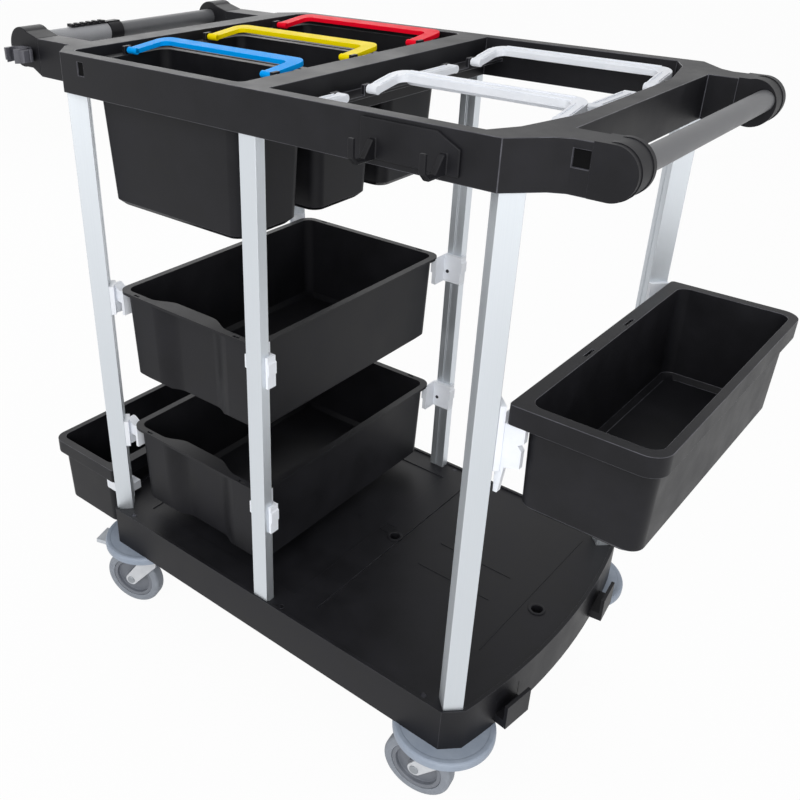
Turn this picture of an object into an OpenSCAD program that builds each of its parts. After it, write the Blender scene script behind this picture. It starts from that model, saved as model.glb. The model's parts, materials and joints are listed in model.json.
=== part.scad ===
// Janitor cart: moulded deck and top frame on six extruded posts, with buckets, trays, end bins
// and swivel castors. Millimetres, +Z up, origin on the floor under the centre of the deck.

/* [Deck] */
// Half length of the deck's straight sides, from the centre to a corner bevel
side_half = 376; // [372:1:400]
// Width of the deck and of the top frame
deck_w = 560; // [556:2:600]
// Size of the 45 degree bevel at each corner
bevel = 26; // [24:1:30]
// How far each bowed end stands out past its bevels
bow = 28; // [12:1:28]
// Height of the deck's rim above the floor
deck_top = 258; // [250:1:260]
// Height of the deck's outer skirt
skirt_h = 80; // [70:1:84]
// Wall thickness of the deck moulding
deck_wall = 5; // [3:0.5:7]
// Depth of the deck's floor below its rim
floor_drop = 3; // [2:0.5:5]
// Width of the rim round the deck's floor
rim_band = 6; // [5:0.5:10]
// Depth of the lowered panel in the deck's floor
panel_drop = 2; // [1:0.5:3]
// Distance of the lowered panel from the deck's sides
panel_in = 50; // [44:1:70]
// Thickness of the ribs under the deck
rib_t = 4; // [3:0.5:6]
// Distance of the cross seam from the deck's centre
seam_x = 93; // [80:1:140]
// Width of the cross seam
seam_w = 3; // [2:0.5:5]
// Radius of the drain holes in the deck's floor
drain_r = 11; // [5:0.5:12]
// Distance of the outer drain hole from the tip of the bowed end
drain_in = 55; // [40:1:70]

/* [Posts] */
// Width of a corner post along its bevel
corner_w = 30; // [26:1:32]
// Depth of a corner post across its bevel
corner_d = 30; // [26:1:33]
// Width of a middle post
mid_w = 30; // [24:1:36]
// Depth of a middle post
mid_d = 18; // [14:1:20]
// Wall of the post extrusions
post_wall = 2.5; // [1.5:0.5:4]
// Width of the slot along a post
slot_w = 5; // [3:0.5:6]
// How far the posts sit inside the edges of the deck and frame
post_inset = 3.5; // [3:0.5:5]
// How deep the posts stand in their sockets
socket_depth = 30; // [15:1:30]
// Gap round a post in its socket
socket_gap = 0.3; // [0.1:0.1:1]
// Place of the middle posts and the frame's divider along the length
mid_x = 6; // [0:1:10]

/* [Top frame] */
// Height of the frame's top above the floor
frame_top = 1104; // [1060:2:1200]
// Height of the frame's outer wall
frame_h = 59; // [55:1:70]
// Width of the frame's long side walls
side_wall = 20; // [16:1:20]
// How far the left end rail reaches inside the ends of the straight sides
rail_left_in = 4; // [0:1:6]
// Distance of the right end rail past the ends of the straight sides
rail_right_past = 12; // [8:1:16]
// Distance of the end rails' outer faces past the ends of the straight sides
rail_past = 38; // [34:1:44]
// Width of the divider between the two openings
divider_w = 50; // [46:1:52]
// Wall thickness of the frame moulding
frame_wall = 4; // [3:0.5:5]
// Thickness of the ledges inside the frame
ledge_t = 4; // [3:0.5:6]
// Depth of the ledges below the frame's top
ledge_drop = 18; // [16:1:20]
// Width of the ledge that carries the buckets
ledge_w = 14; // [10:1:15]
// Depth of the bag shelf below the frame's top
bag_drop = 30; // [28:1:34]
// Width of the bag shelf beside the divider
shelf_w = 26; // [24:1:30]
// Length of the recesses in the right arms' outer faces
recess_l = 20; // [12:1:26]
// Length of the recesses near the left corners
recess_left = 14; // [10:1:20]
// Distance of the left recesses from the left corners
recess_in = 40; // [30:1:50]
// Depth of the recesses in the frame's outer faces
recess_d = 2; // [1:0.5:2.5]

/* [Handles] */
// Distance of the handle arms' outer faces from the frame's sides
arm_inset = 47; // [40:1:58]
// Width of a handle arm
arm_w = 42; // [38:1:46]
// Length of the right arms, from the rail to the cap
arm_right_l = 40; // [26:1:56]
// Length of the left arms, from the rail to the cap
arm_left_l = 86; // [66:1:101]
// Radius of the rounded end of a handle cap
cap_r = 31; // [29:0.5:32]
// Length of a right cap's straight part
cap_len = 22; // [18:1:26]
// Length of a left cap's straight part
left_cap_len = 46; // [42:1:50]
// How far the left caps are raised
left_rise = 11; // [8:1:13]
// Outer radius of the handle tubes
tube_r = 14; // [10:0.5:14.5]
// Wall of the handle tubes
tube_wall = 2; // [1:0.5:4]
// How far the right tube's axis lies past the centre of its caps
tube_ahead = 14; // [0:1:14]
// How deep a tube stands in its caps
tube_socket = 25; // [10:1:32]
// Gap round a tube in its caps
tube_gap = 0.2; // [0.1:0.05:0.5]
// Length of the sleeve on the left tube
sleeve_len = 132; // [120:1:150]
// Wall of the sleeve on the left tube
sleeve_wall = 2; // [1:0.5:3]
// Width of the band clamp on the left tube
clamp_w = 26; // [22:1:32]
// Wall of the band clamp
clamp_wall = 4; // [3:0.5:6]
// Length of the clamp's ribbed saddle over the sleeve
saddle_l = 76; // [60:1:100]
// Inner radius of the mop clip's jaws
clip_r = 13; // [10:0.5:14]
// Wall of the mop clip's jaws
clip_wall = 5; // [3:0.5:6]
// Height of the mop clip
clip_h = 22; // [16:1:26]
// Distance of the mop clip from the end of its cap, towards the cart
clip_in = 14; // [8:1:20]

/* [Buckets] */
// Gap between a bucket's rim and the ends of its opening
bucket_play = 6.5; // [4:0.5:8]
// Gap between the outer buckets' rims and the frame's sides
bucket_side = 5; // [3:0.5:8]
// Gap between the rims of neighbouring buckets
bucket_gap = 6; // [4:0.5:8]
// Height of a bucket
bucket_h = 220; // [150:1:240]
// Width of the rim flange at a bucket's ends
bucket_end = 20; // [18:1:22]
// Width of the rim flange along a bucket's sides
bucket_lip = 9; // [8:1:12]
// Thickness of a bucket's rim flange
bucket_lip_t = 4; // [3:0.5:5]
// Inward draft of a bucket's walls over its height
bucket_draft = 8; // [5:1:14]
// Corner radius of a bucket's rim
bucket_r = 24; // [20:1:30]
// Wall of the buckets
bucket_wall = 3; // [2:0.5:4]
// Bevel round the bottoms of buckets, trays and bins
foot_bevel = 8; // [4:0.5:10]

/* [Bails] */
// Distance of a folded bucket bail's outer edge inside the bucket's rim
bail_edge = 5; // [3:0.5:20]
// Distance from a bag bail's pivots to its outer edge
bag_reach = 70; // [64:1:74]
// Gap between the two bag bails that meet in the middle
bag_gap = 6; // [5:0.5:8]
// Distance of a bucket's ears from the ends of its rim
ear_edge = 11; // [9:0.5:13]
// Distance of the bag bails' right arms from the right end rail
bag_clear = 30; // [29:1:42]
// Width of a bucket bail's strap
bail_w = 21; // [16:0.5:23]
// Width of a bag bail's strap
bag_w = 17; // [14:0.5:20]
// Thickness of a bucket bail's strap
bail_t = 7; // [5:0.5:8]
// Thickness of a bag bail's strap
bag_t = 10; // [8:0.5:11]
// Corner radius of a bail
bail_r = 22; // [18:1:30]
// Radius of a bail's pivot pins
bail_pin_r = 3; // [2.5:0.1:3.2]
// Running gap round a pin or a shaft
run_gap = 0.06; // [0.02:0.01:0.1]
// Rise of a folded bucket bail towards its crossbar
bail_tilt = 6; // [5:0.5:10]
// Rise of the two bag bails that lie higher
bag_tilt = 10; // [8:0.5:12]
// Height of a bucket bail's pivots above the rim
bail_pivot_h = 6; // [5.5:0.5:9]
// Height of a bag bail's pivots above the shelf
bag_pivot_h = 8; // [7:0.5:9]
// Thickness of an ear that carries a bail
ear_t = 6; // [4:0.5:6]
// Width of an ear that carries a bail
ear_w = 14; // [12:0.5:16]
// Gap between a bail's arm and its ear
ear_gap = 1; // [0.5:0.1:1.5]
// Distance of the outer bag bails' crossbars from the frame's side walls
bag_side = 25; // [22:1:30]
// Distance between the pivots of an inner and an outer bag bail
bag_apart = 68; // [62:1:72]

/* [Trays] */
// Distance of a tray's front and back rims from the middle posts' inner faces
tray_end = 10.5; // [8:0.5:38]
// Distance of a tray's left rim from the left posts
tray_clear = 12.7; // [11:0.1:30]
// Height of a tray
tray_h = 165; // [120:1:170]
// Width of a tray's rim flange
tray_lip = 9; // [8:0.5:11]
// Thickness of a tray's rim flange
tray_lip_t = 5; // [3:0.5:7]
// Inward draft of a tray's walls over its height
tray_draft = 4; // [2:1:8]
// Corner radius of a tray's rim
tray_r = 24; // [20:1:30]
// Wall of the trays
tray_wall = 3; // [2:0.5:4]
// Depth of the finger recess in a tray's front
grip_d = 17; // [10:1:20]
// Half length of the finger recess
grip_half = 88; // [70:1:95]
// Half length of the deepest part of the finger recess
grip_flat = 38; // [20:1:45]
// Height of the upper tray's rim above the floor
tray_upper_z = 719; // [660:1:740]
// Height of the lower tray's rim above the floor
tray_lower_z = 449; // [445:1:480]
// Distance from a tray's rim to the middle posts
tray_gap = 5; // [4:0.5:8]

/* [End bins] */
// Width of an end bin's rim along the cart
bin_w = 192; // [180:1:200]
// Distance of an end bin's rim inside the deck's sides
bin_in = 31; // [28:1:38]
// Height of an end bin
bin_h = 153; // [120:1:170]
// Height of the apron that hangs from a bin's rim
apron_h = 28; // [20:1:30]
// Wall of the apron
apron_t = 3; // [2:0.5:3.5]
// Width of a bin's rim flange
bin_lip = 13; // [12.5:0.5:16]
// Thickness of a bin's rim flange
bin_lip_t = 5; // [3:0.5:7]
// Inward draft of a bin's walls over its height
bin_draft = 3; // [2:0.5:6]
// Corner radius of a bin's rim
bin_r = 26; // [22:1:32]
// Corner radius of a bin's rim beside the cart
bin_square_r = 6; // [4:0.5:10]
// How far a bin's tub sits away from the cart under its rim
bin_shift = 4; // [2:0.5:5]
// Wall of the bins
bin_wall = 3; // [2:0.5:4]
// Gap between the right bin's rim and the right posts
bin_gap = 8; // [7.5:0.5:13]
// Gap between the left bin's tub and the tip of the deck
bin_deck_gap = 5; // [4.5:0.5:11]
// Height of the right bin's rim above the floor
bin_right_z = 785; // [600:1:900]
// Height of the left bin's rim above the floor
bin_left_z = 310; // [310:1:420]

/* [Clips and hooks] */
// Thickness of the clip pads on the posts
pad_t = 8; // [6:0.5:9]
// Height of the tray clips' pads
clip_pad_h = 52; // [40:1:60]
// Height of the tray clips' ledges
clip_ledge_h = 22; // [12:1:26]
// Gap between a tray's wall and the clip beside it
clip_side_gap = 2.5; // [1.5:0.5:3]
// Gap under a rim that rests on a clip or bracket
rest_gap = 0.3; // [0.1:0.1:0.5]
// Thickness of the bin brackets' upstands
upstand_t = 5; // [4:0.5:5]
// Width of the bin brackets' upstands
upstand_w = 18; // [12:1:24]
// Gap between an upstand and the apron in front of it
upstand_gap = 1.5; // [1:0.5:2]
// Height of the bin brackets' arms
bracket_arm_h = 18; // [12:1:20]
// Height of the bin brackets' plates below their arms
bracket_plate_h = 50; // [40:1:56]
// Distance from a bin's rim down to the tips of its brackets' prongs
bracket_h = 134; // [124:1:145]
// Thickness of the clips' and brackets' prongs
prong_t = 6; // [5:0.5:7]
// Length of the hook plate on the near side
plate_l = 135; // [120:1:150]
// Height of the hook plate
plate_h = 46; // [40:1:50]
// Thickness of the hook plate
plate_t = 4; // [3:0.5:6]
// Distance of the hook plate's middle from the end of the straight side
plate_in = 114; // [96:1:146]
// Distance between the two hooks
hook_pitch = 96; // [70:1:100]
// How far a hook's tip stands out from the plate
hook_out = 42; // [36:1:44]
// Thickness of a hook's strap
hook_t = 5; // [4:0.5:6]
// Width of a hook's strap
hook_w = 8; // [6:0.5:12]
// Height of a hook's tip above its foot
hook_up = 32; // [24:1:36]
// Width of the clip blocks on the deck's bowed end
block_w = 58; // [40:1:64]
// Height of the clip blocks on the deck's bowed end
block_h = 46; // [36:1:56]
// How far the clip blocks stand out
block_out = 22; // [14:1:24]
// Thickness of the clip blocks' outer lips
block_lip = 6; // [4:0.5:8]
// Distance of the clip blocks below the deck's rim
block_low = 26; // [10:1:30]
// Distance of the clip blocks from the centre line
block_y = 155; // [110:1:170]

/* [Castors] */
// Distance of the castor axes inside the ends of the straight sides
castor_in_x = 21; // [20:1:36]
// Distance of the castor axes inside the deck's sides
castor_in_y = 51; // [48:1:65]
// Radius of the wheels
wheel_r = 60; // [54:1:61]
// Width of the wheels
wheel_w = 26; // [22:1:30]
// Thickness of the tyres
tyre_t = 15; // [10:1:18]
// Rounding of the tyres' shoulders
tyre_round = 6; // [3:0.5:8]
// Radius of a wheel's hub barrel
barrel_r = 14; // [11:0.5:18]
// Radius of the axles
axle_r = 4; // [3:0.5:5]
// Distance from a castor's swivel axis to its axle
trail = 36; // [32:1:38]
// Radius of the bumper discs
bumper_r = 81; // [74:1:81]
// Thickness of the bumper discs
bumper_t = 15; // [12:1:15]
// Radius of the swivel stems
stem_r = 10; // [7:0.5:12]
// Height of the swivel stems in the deck
stem_h = 38; // [24:1:44]
// Thickness of the fork plates
fork_t = 4; // [3:0.5:5]
// Width of the fork's raked legs
leg_w = 24; // [22:1:28]
// Gap between a wheel and its fork plates
fork_gap = 2; // [1.5:0.5:3]
// Turn of the near left castor
turn_near_left = 18; // [0:1:30]
// Turn of the near right castor
turn_near_right = 8; // [0:1:30]
// Turn of the far left castor
turn_far_left = 12; // [0:1:30]
// Turn of the far right castor
turn_far_right = 4; // [0:1:30]
// Length of the brake pedals
pedal_l = 68; // [40:1:72]
// Width of the brake pedals
pedal_w = 40; // [24:1:44]
// Thickness of the brake pedals
pedal_t = 9; // [4:0.5:10]

/* [Hidden] */
$fn = 48;
arc_fn = 240;
hull_fn = 32;
black = "#2b2c30";
alu = "#d9dce0";
white = "#eef1f6";
over = 1;
eps = 0.01;
half_w = deck_w / 2;
tip_x = side_half + bevel + bow;
bow_half = half_w - bevel;
bow_r = (bow_half * bow_half + bow * bow) / (2 * bow);
deck_bottom = deck_top - skirt_h;
floor_z = deck_top - floor_drop;
plate_under = floor_z - panel_drop - deck_wall;
rib_z = deck_bottom + skirt_h / 3;
drain_y = 10;
boss_wall = 22;
boss_r = stem_r + boss_wall;
frame_bottom = frame_top - frame_h;
socket_wall = 4;
screw_r = 2.5;
screw_head_r = 4.5;
screw_head_h = 2;
screw_in = 40;
screw_l = 6;
// Centre of a corner post on its bevel
corner_in = (post_inset + corner_d / 2) / sqrt(2);
corner_x = side_half + bevel / 2 - corner_in;
corner_y = half_w - bevel / 2 - corner_in;
corner_reach = (corner_w + corner_d) / 2 / sqrt(2);
mid_y = half_w - post_inset - mid_d / 2;
mid_inner = mid_y - mid_d / 2;
post_bottom = deck_top - socket_depth;
post_top = frame_bottom + socket_depth;
// Frame openings
open_half = half_w - side_wall;
open_r = 12;
plate_x = side_half - plate_in;
div_left = mid_x - divider_w / 2;
div_right = mid_x + divider_w / 2;
rail_left = side_half - rail_left_in;
rail_right = side_half + rail_right_past;
rail_out = side_half + rail_past;
ledge_z = frame_top - ledge_drop;
lid_z = frame_top - frame_wall;
// Handles
arm_out = half_w - arm_inset;
arm_right = rail_out + arm_right_l;
arm_left = rail_out + arm_left_l;
right_tube_up = 5;
left_tube_up = 4;
right_cap_x = arm_right + cap_len;
left_cap_x = arm_left + left_cap_len;
right_cap_z = frame_bottom + cap_r - over;
left_cap_z = right_cap_z + left_rise;
right_tube_x = right_cap_x + tube_ahead;
right_tube_z = right_cap_z + right_tube_up;
left_tube_z = left_cap_z + left_tube_up;
arm_in = arm_out - arm_w;
clip_low = 8;
saddle_ribs = 6;
// Buckets and bails
bucket_x = (div_left - rail_left) / 2;
bucket_l = div_left + rail_left - 2 * bucket_play;
bucket_w = (2 * open_half - 2 * bucket_side - 2 * bucket_gap) / 3;
bucket_pitch = bucket_w + bucket_gap;
bail_l = bucket_l - 2 * (ear_edge + ear_t + ear_gap);
bail_reach = bucket_w / 2 - bail_edge;
pin_wall = 3;
rim_z = ledge_z + bucket_lip_t;
body_l = bucket_l - 2 * bucket_end;
body_w = bucket_w - 2 * bucket_lip;
bag_l = rail_right - bag_clear - div_right - shelf_w - ear_t - 2 * ear_gap;
bag_x = div_right + shelf_w + ear_t + ear_gap + bag_l / 2;
bag_out = open_half - bag_side - bag_reach;
bag_in = bag_out - bag_apart;
ear_top = bail_pivot_h + bail_pin_r + pin_wall;
bag_z = frame_top - bag_drop;
bag_ear_top = bag_pivot_h + bail_pin_r + pin_wall;
bag_long = 2 * bag_in - bag_reach - bag_gap;
// Trays between the left posts and the middle posts
tray_l = 2 * (mid_inner - tray_end);
tray_w = corner_x - corner_reach - tray_clear + mid_x - mid_w / 2 - tray_gap;
tray_x = mid_x - mid_w / 2 - tray_gap - tray_w / 2;
grip_n = 16;
slot_l = 26;
slot_t = 4;
// End bins
bin_l = deck_w - 2 * bin_in;
bin_right_x = corner_x + corner_reach + bin_gap;
bin_left_x = tip_x + bin_deck_gap - bin_lip - bin_shift;
// Castors
castor_x = side_half - castor_in_x;
castor_y = half_w - castor_in_y;
head_gap = 6;
pedal_out = 6;
pedal_up = 14;
fork_in = wheel_w / 2 + fork_gap;
fork_out = fork_in + fork_t;
fork_top = deck_bottom - bumper_t - rest_gap;
head_z = 2 * wheel_r + head_gap;
hub_r = wheel_r - tyre_t;
web_t = 8;
pedal_x = -trail - pedal_out;
pedal_z = head_z + pedal_up;
pedal_pin_r = 3;
pedal_eye_r = 7;

// Shared shapes

module rounded(l, w, r) {
    square([l - 2 * r, w], center = true);
    square([l, w - 2 * r], center = true);
    for (x = [-1, 1])
        for (y = [-1, 1])
            translate([x * (l / 2 - r), y * (w / 2 - r)])
                circle(r = r);
}

module slab(l, w, r, z) {
    translate([0, 0, z])
        linear_extrude(over)
            rounded(l, w, r, $fn = hull_fn);
}

// A drafted block from z = top down to -h, l by w at the top, with its bottom edges bevelled
module tub_block(l, w, h, draft, r, top) {
    low_l = l - 2 * draft;
    low_w = w - 2 * draft;
    hull() {
        slab(l, w, r, top);
        slab(low_l, low_w, r, foot_bevel - h);
        slab(low_l - 2 * foot_bevel, low_w - 2 * foot_bevel, r, -h);
    }
}

// A drafted tub shell hanging from z = 0, l by w outside at the top
module tub(l, w, h, draft, r, wall) {
    difference() {
        tub_block(l, w, h, draft, r, -over);
        tub_block(l - 2 * wall, w - 2 * wall, h - wall, draft, r - wall, 0);
    }
}

// A flat rim l by w with its top at z = 0, round a tub that is bl by bw outside
module rim(l, w, r, bl, bw, br, t) {
    translate([0, 0, -t])
        linear_extrude(t)
            difference() {
                rounded(l, w, r);
                rounded(bl, bw, br);
            }
}

// Outline with bevelled corners, drawn in by i all round and cut off at x = far
module bevelled_2d(i, far) {
    cut = half_w + side_half - i * sqrt(2);
    y = half_w - i;
    x = cut - y;
    polygon([[far, cut - far], [x, y], [-x, y], [-far, cut - far],
             [-far, far - cut], [-x, -y], [x, -y], [far, far - cut]]);
}

module deck_2d(i) {
    intersection() {
        bevelled_2d(i, tip_x + over);
        translate([tip_x - bow_r, 0]) circle(r = bow_r - i, $fn = arc_fn);
        translate([bow_r - tip_x, 0]) circle(r = bow_r - i, $fn = arc_fn);
    }
}

// Places: the near right corner mirrored to side sx, sy, and turned to its bevel
module on_side(sx, sy) {
    mirror([sx < 0 ? 1 : 0, 0, 0])
        mirror([0, sy < 0 ? 0 : 1, 0])
            children();
}

module at_corner(sx, sy) {
    on_side(sx, sy)
        translate([corner_x, -corner_y, 0])
            rotate([0, 0, 45])
                children();
}

module at_mid(sy) {
    on_side(1, sy)
        translate([mid_x, -mid_y, 0])
            children();
}

module each_post_2d(grow) {
    for (sx = [-1, 1])
        for (sy = [-1, 1])
            at_corner(sx, sy)
                square([corner_w + 2 * grow, corner_d + 2 * grow], center = true);
    for (sy = [-1, 1])
        at_mid(sy)
            square([mid_w + 2 * grow, mid_d + 2 * grow], center = true);
}

module castor_places() {
    for (sx = [-1, 1])
        for (sy = [-1, 1])
            translate([sx * castor_x, sy * castor_y, 0])
                children();
}

module screw_places() {
    for (sy = [-1, 1])
        for (x = [screw_in - corner_x, mid_x + screw_in, corner_x - screw_in])
            translate([x, sy * mid_y, floor_z])
                children();
}

// Deck

module deck_shell() {
    translate([0, 0, deck_bottom])
        difference() {
            linear_extrude(skirt_h) deck_2d(0);
            translate([0, 0, -over]) linear_extrude(plate_under - deck_bottom + over) deck_2d(deck_wall);
            translate([0, 0, skirt_h - floor_drop]) linear_extrude(floor_drop + over) deck_2d(rim_band);
        }
}

module deck_ribs() {
    intersection() {
        translate([0, 0, rib_z])
            linear_extrude(plate_under - rib_z + eps)
                deck_2d(deck_wall / 2);
        union() {
            for (x = [-side_half / 2, 0, side_half / 2])
                translate([x - rib_t / 2, -half_w, rib_z - over]) cube([rib_t, deck_w, skirt_h]);
            for (y = [-half_w / 3, half_w / 3])
                translate([-tip_x, y - rib_t / 2, rib_z - over]) cube([2 * tip_x, rib_t, skirt_h]);
        }
    }
}

module post_seats() {
    intersection() {
        translate([0, 0, post_bottom - socket_wall])
            linear_extrude(floor_z - post_bottom + socket_wall)
                each_post_2d(socket_wall);
        translate([0, 0, deck_bottom]) linear_extrude(skirt_h) deck_2d(over);
    }
}

module base_deck() {
    color(black)
    difference() {
        union() {
            deck_shell();
            deck_ribs();
            castor_places()
                translate([0, 0, deck_bottom])
                    cylinder(r = boss_r, h = plate_under - deck_bottom + eps);
            post_seats();
        }
        translate([0, 0, post_bottom]) linear_extrude(skirt_h) each_post_2d(socket_gap);
        castor_places()
            translate([0, 0, deck_bottom - over]) cylinder(r = stem_r + run_gap, h = stem_h + 2 * over);
        screw_places() {
            translate([0, 0, -screw_l]) cylinder(r = screw_r, h = screw_l + over);
            translate([0, 0, -screw_head_h]) cylinder(r = screw_head_r + socket_gap, h = screw_head_h + over);
        }
        for (x = [seam_x - panel_in / 4, tip_x - drain_in])
            translate([x, drain_y, plate_under - over]) cylinder(r = drain_r, h = skirt_h);
        translate([seam_x, panel_in - half_w, floor_z - panel_drop])
            cube([seam_w, deck_w - 2 * panel_in, skirt_h]);
        translate([panel_in - side_half, panel_in - half_w, floor_z - panel_drop])
            cube([side_half + seam_x - 2 * panel_in, deck_w - 2 * panel_in, skirt_h]);
    }
}

module deck_screws() {
    color("#3c3d42")
    screw_places() {
        translate([0, 0, -screw_head_h]) cylinder(r = screw_head_r, h = screw_head_h);
        translate([0, 0, -screw_l]) cylinder(r = screw_r, h = screw_l - over);
    }
}

// Clip blocks on the bowed right end, each with an open pocket in its outer face
module deck_hooks() {
    color(black)
    for (sy = [-1, 1])
        translate([tip_x - bow_r, 0, deck_top - block_low - block_h])
            rotate([0, 0, sy * asin(block_y / bow_r)])
                difference() {
                    translate([bow_r * cos(asin(block_w / 2 / bow_r)), -block_w / 2, 0])
                        cube([block_out, block_w, block_h]);
                    translate([bow_r, -block_w, block_h / 3])
                        cube([block_out - block_lip, 2 * block_w, block_h]);
                    translate([0, 0, -over])
                        cylinder(r = bow_r + rest_gap, h = block_h + 2 * over, $fn = arc_fn);
                }
}

module castor_bumpers() {
    color("#9aa3b0")
    castor_places()
        translate([0, 0, deck_bottom - bumper_t])
            difference() {
                rotate_extrude()
                    union() {
                        square([bumper_r, bumper_t * 0.6]);
                        square([bumper_r - bumper_t * 0.4, bumper_t]);
                        translate([bumper_r - bumper_t * 0.4, bumper_t * 0.6]) circle(r = bumper_t * 0.4);
                    }
                translate([0, 0, -over]) cylinder(r = stem_r + run_gap, h = bumper_t + 2 * over);
            }
}

// Posts: hollow extrusions with slots along them

module corner_post(sx, sy) {
    color(alu)
    at_corner(sx, sy)
        translate([0, 0, post_bottom])
            linear_extrude(post_top - post_bottom)
                difference() {
                    square([corner_w, corner_d], center = true);
                    square([corner_w - 2 * post_wall, corner_d - 2 * post_wall], center = true);
                    translate([0, corner_d / 2]) square([slot_w, corner_d / 2], center = true);
                }
}

module mid_post(sy) {
    color(alu)
    at_mid(sy)
        translate([0, 0, post_bottom])
            linear_extrude(post_top - post_bottom)
                difference() {
                    square([mid_w, mid_d], center = true);
                    square([mid_w - 2 * post_wall, mid_d - 2 * post_wall], center = true);
                    translate([0, mid_d / 2]) square([slot_w, mid_d / 2], center = true);
                }
}

// Top frame

// Left opening grown by g: square with small round corners
module left_open_2d(g) {
    translate([(div_left - rail_left) / 2, 0])
        rounded(div_left + rail_left + 2 * g, 2 * open_half + 2 * g, open_r);
}

// Right opening grown by g: its right corners are cut to clear the corner posts
module right_open_2d(g) {
    x0 = div_right - g;
    x1 = corner_x - corner_w - over + g;
    x2 = corner_x - corner_w / 3 + g;
    x3 = rail_right + g;
    y0 = open_half + g;
    y1 = corner_y - corner_d + g;
    y2 = open_half / 2 + g;
    polygon([[x0, y0], [x1, y0], [x2, y1], [x3, y2], [x3, -y2], [x2, -y1], [x1, -y0], [x0, -y0]]);
}

module frame_2d(i) {
    bevelled_2d(i, rail_out - i);
}

module frame_arms(i, h) {
    for (sy = [-1, 1]) {
        y = sy * (arm_out - arm_w / 2) - arm_w / 2 + i;
        translate([rail_out - over - frame_wall, y, 0])
            cube([arm_right - rail_out + over + frame_wall - i, arm_w - 2 * i, h]);
        translate([i - arm_left, y, 0])
            cube([arm_left - rail_out + over + frame_wall - i, arm_w - 2 * i, h]);
    }
}

// Wedges that lead from the frame's bevels to the right arms
module arm_wedges() {
    y0 = half_w + side_half - rail_out;
    x1 = arm_right - recess_l - 2 * over;
    for (sy = [-1, 1])
        on_side(1, sy)
            linear_extrude(frame_h)
                polygon([[rail_out - over, -y0], [rail_out, -y0], [x1, -arm_out],
                         [x1, over - arm_out], [rail_out - over, over - arm_out]]);
}

module frame_shell() {
    difference() {
        translate([0, 0, frame_bottom]) {
            linear_extrude(frame_h) frame_2d(0);
            frame_arms(0, frame_h);
            arm_wedges();
        }
        translate([0, 0, frame_bottom - over]) {
            linear_extrude(frame_h + 2 * over) {
                left_open_2d(0);
                right_open_2d(0);
            }
            linear_extrude(lid_z - frame_bottom + over)
                difference() {
                    frame_2d(frame_wall);
                    left_open_2d(frame_wall);
                    right_open_2d(frame_wall);
                }
            frame_arms(frame_wall, lid_z - frame_bottom + over);
        }
    }
}

module frame_ledges() {
    translate([0, 0, ledge_z - ledge_t])
        linear_extrude(ledge_t)
            difference() {
                left_open_2d(over);
                left_open_2d(-ledge_w);
            }
    translate([div_right - over, -open_half - over, bag_z - ledge_t])
        cube([over + shelf_w + ear_t, 2 * open_half + 2 * over, ledge_t]);
    bag_ear_places(bag_x + bag_l / 2 + ear_gap)
        translate([0, -ear_w, -ledge_t])
            cube([rail_right - bag_x - bag_l / 2 - ear_gap + over, 2 * ear_w, ledge_t]);
}

// Places of the bag bails' ears at x
module bag_ear_places(x) {
    for (y = [-bag_out, -bag_in, bag_in, bag_out])
        translate([x, y, bag_z])
            children();
}

module frame_sockets() {
    translate([0, 0, frame_bottom])
        linear_extrude(socket_depth + socket_wall)
            intersection() {
                each_post_2d(socket_wall);
                frame_2d(over);
            }
}

module top_frame() {
    color(black)
    difference() {
        union() {
            frame_shell();
            frame_ledges();
            frame_sockets();
            for (x = [bag_x - bag_l / 2 - ear_gap - ear_t, bag_x + bag_l / 2 + ear_gap])
                bag_ear_places(x)
                    translate([0, -ear_w / 2, -ledge_t]) cube([ear_t, ear_w, ledge_t + bag_ear_top]);
        }
        translate([0, 0, frame_bottom - over]) linear_extrude(socket_depth + over) each_post_2d(socket_gap);
        for (x = [bag_x - bag_l / 2 - ear_gap - ear_t, bag_x + bag_l / 2 + ear_gap])
            bag_ear_places(x)
                translate([-over, 0, bag_pivot_h])
                    rotate([0, 90, 0]) cylinder(r = bail_pin_r + run_gap, h = ear_t + 2 * over);
        for (sy = [-1, 1]) {
            translate([arm_right - recess_l - over, sy * arm_out - recess_d, frame_bottom + frame_h / 2])
                cube([recess_l, 2 * recess_d, frame_h / 3]);
            translate([recess_in - side_half, sy * half_w - recess_d, frame_bottom + frame_h / 2])
                cube([recess_left, 2 * recess_d, frame_h / 3]);
        }
    }
}

// Handles

module drum(x, y, z, r, l) {
    translate([x, y, z])
        rotate([-90, 0, 0])
            cylinder(r = r, h = l);
}

module handle_cap_right(sy) {
    color(black)
    on_side(1, sy)
        difference() {
            union() {
                translate([arm_right, -arm_out, frame_bottom]) cube([cap_len, arm_w, 2 * cap_r - 2 * over]);
                drum(right_cap_x, -arm_out, right_cap_z, cap_r - over, arm_w);
                drum(right_cap_x, -arm_out + arm_w / 6, right_cap_z, cap_r, arm_w / 6);
                drum(right_cap_x, -arm_in - arm_w / 6, right_cap_z, cap_r, arm_w / 6);
            }
            drum(right_tube_x, -arm_in - tube_socket, right_tube_z, tube_r + tube_gap, tube_socket + over);
            translate([arm_right - 2 * cap_r, -arm_out - over, frame_bottom - over])
                cube([2 * cap_r, arm_w + 2 * over, 3 * cap_r]);
        }
}

// Left caps rise from the end of their arms to a round boss
module handle_cap_left(sy) {
    color(black)
    on_side(-1, sy)
        difference() {
            union() {
                translate([0, arm_w - arm_out, 0])
                    rotate([90, 0, 0])
                        linear_extrude(arm_w)
                            polygon([[arm_left, frame_bottom],
                                     [arm_left + 2 * left_rise, left_cap_z - cap_r + over],
                                     [left_cap_x, left_cap_z - cap_r + over],
                                     [left_cap_x, left_cap_z + cap_r - over],
                                     [arm_left, frame_top]]);
                drum(left_cap_x, -arm_out, left_cap_z, cap_r, arm_w);
            }
            drum(left_cap_x, -arm_in - tube_socket, left_tube_z, tube_r + tube_gap, tube_socket + over);
        }
}

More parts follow.
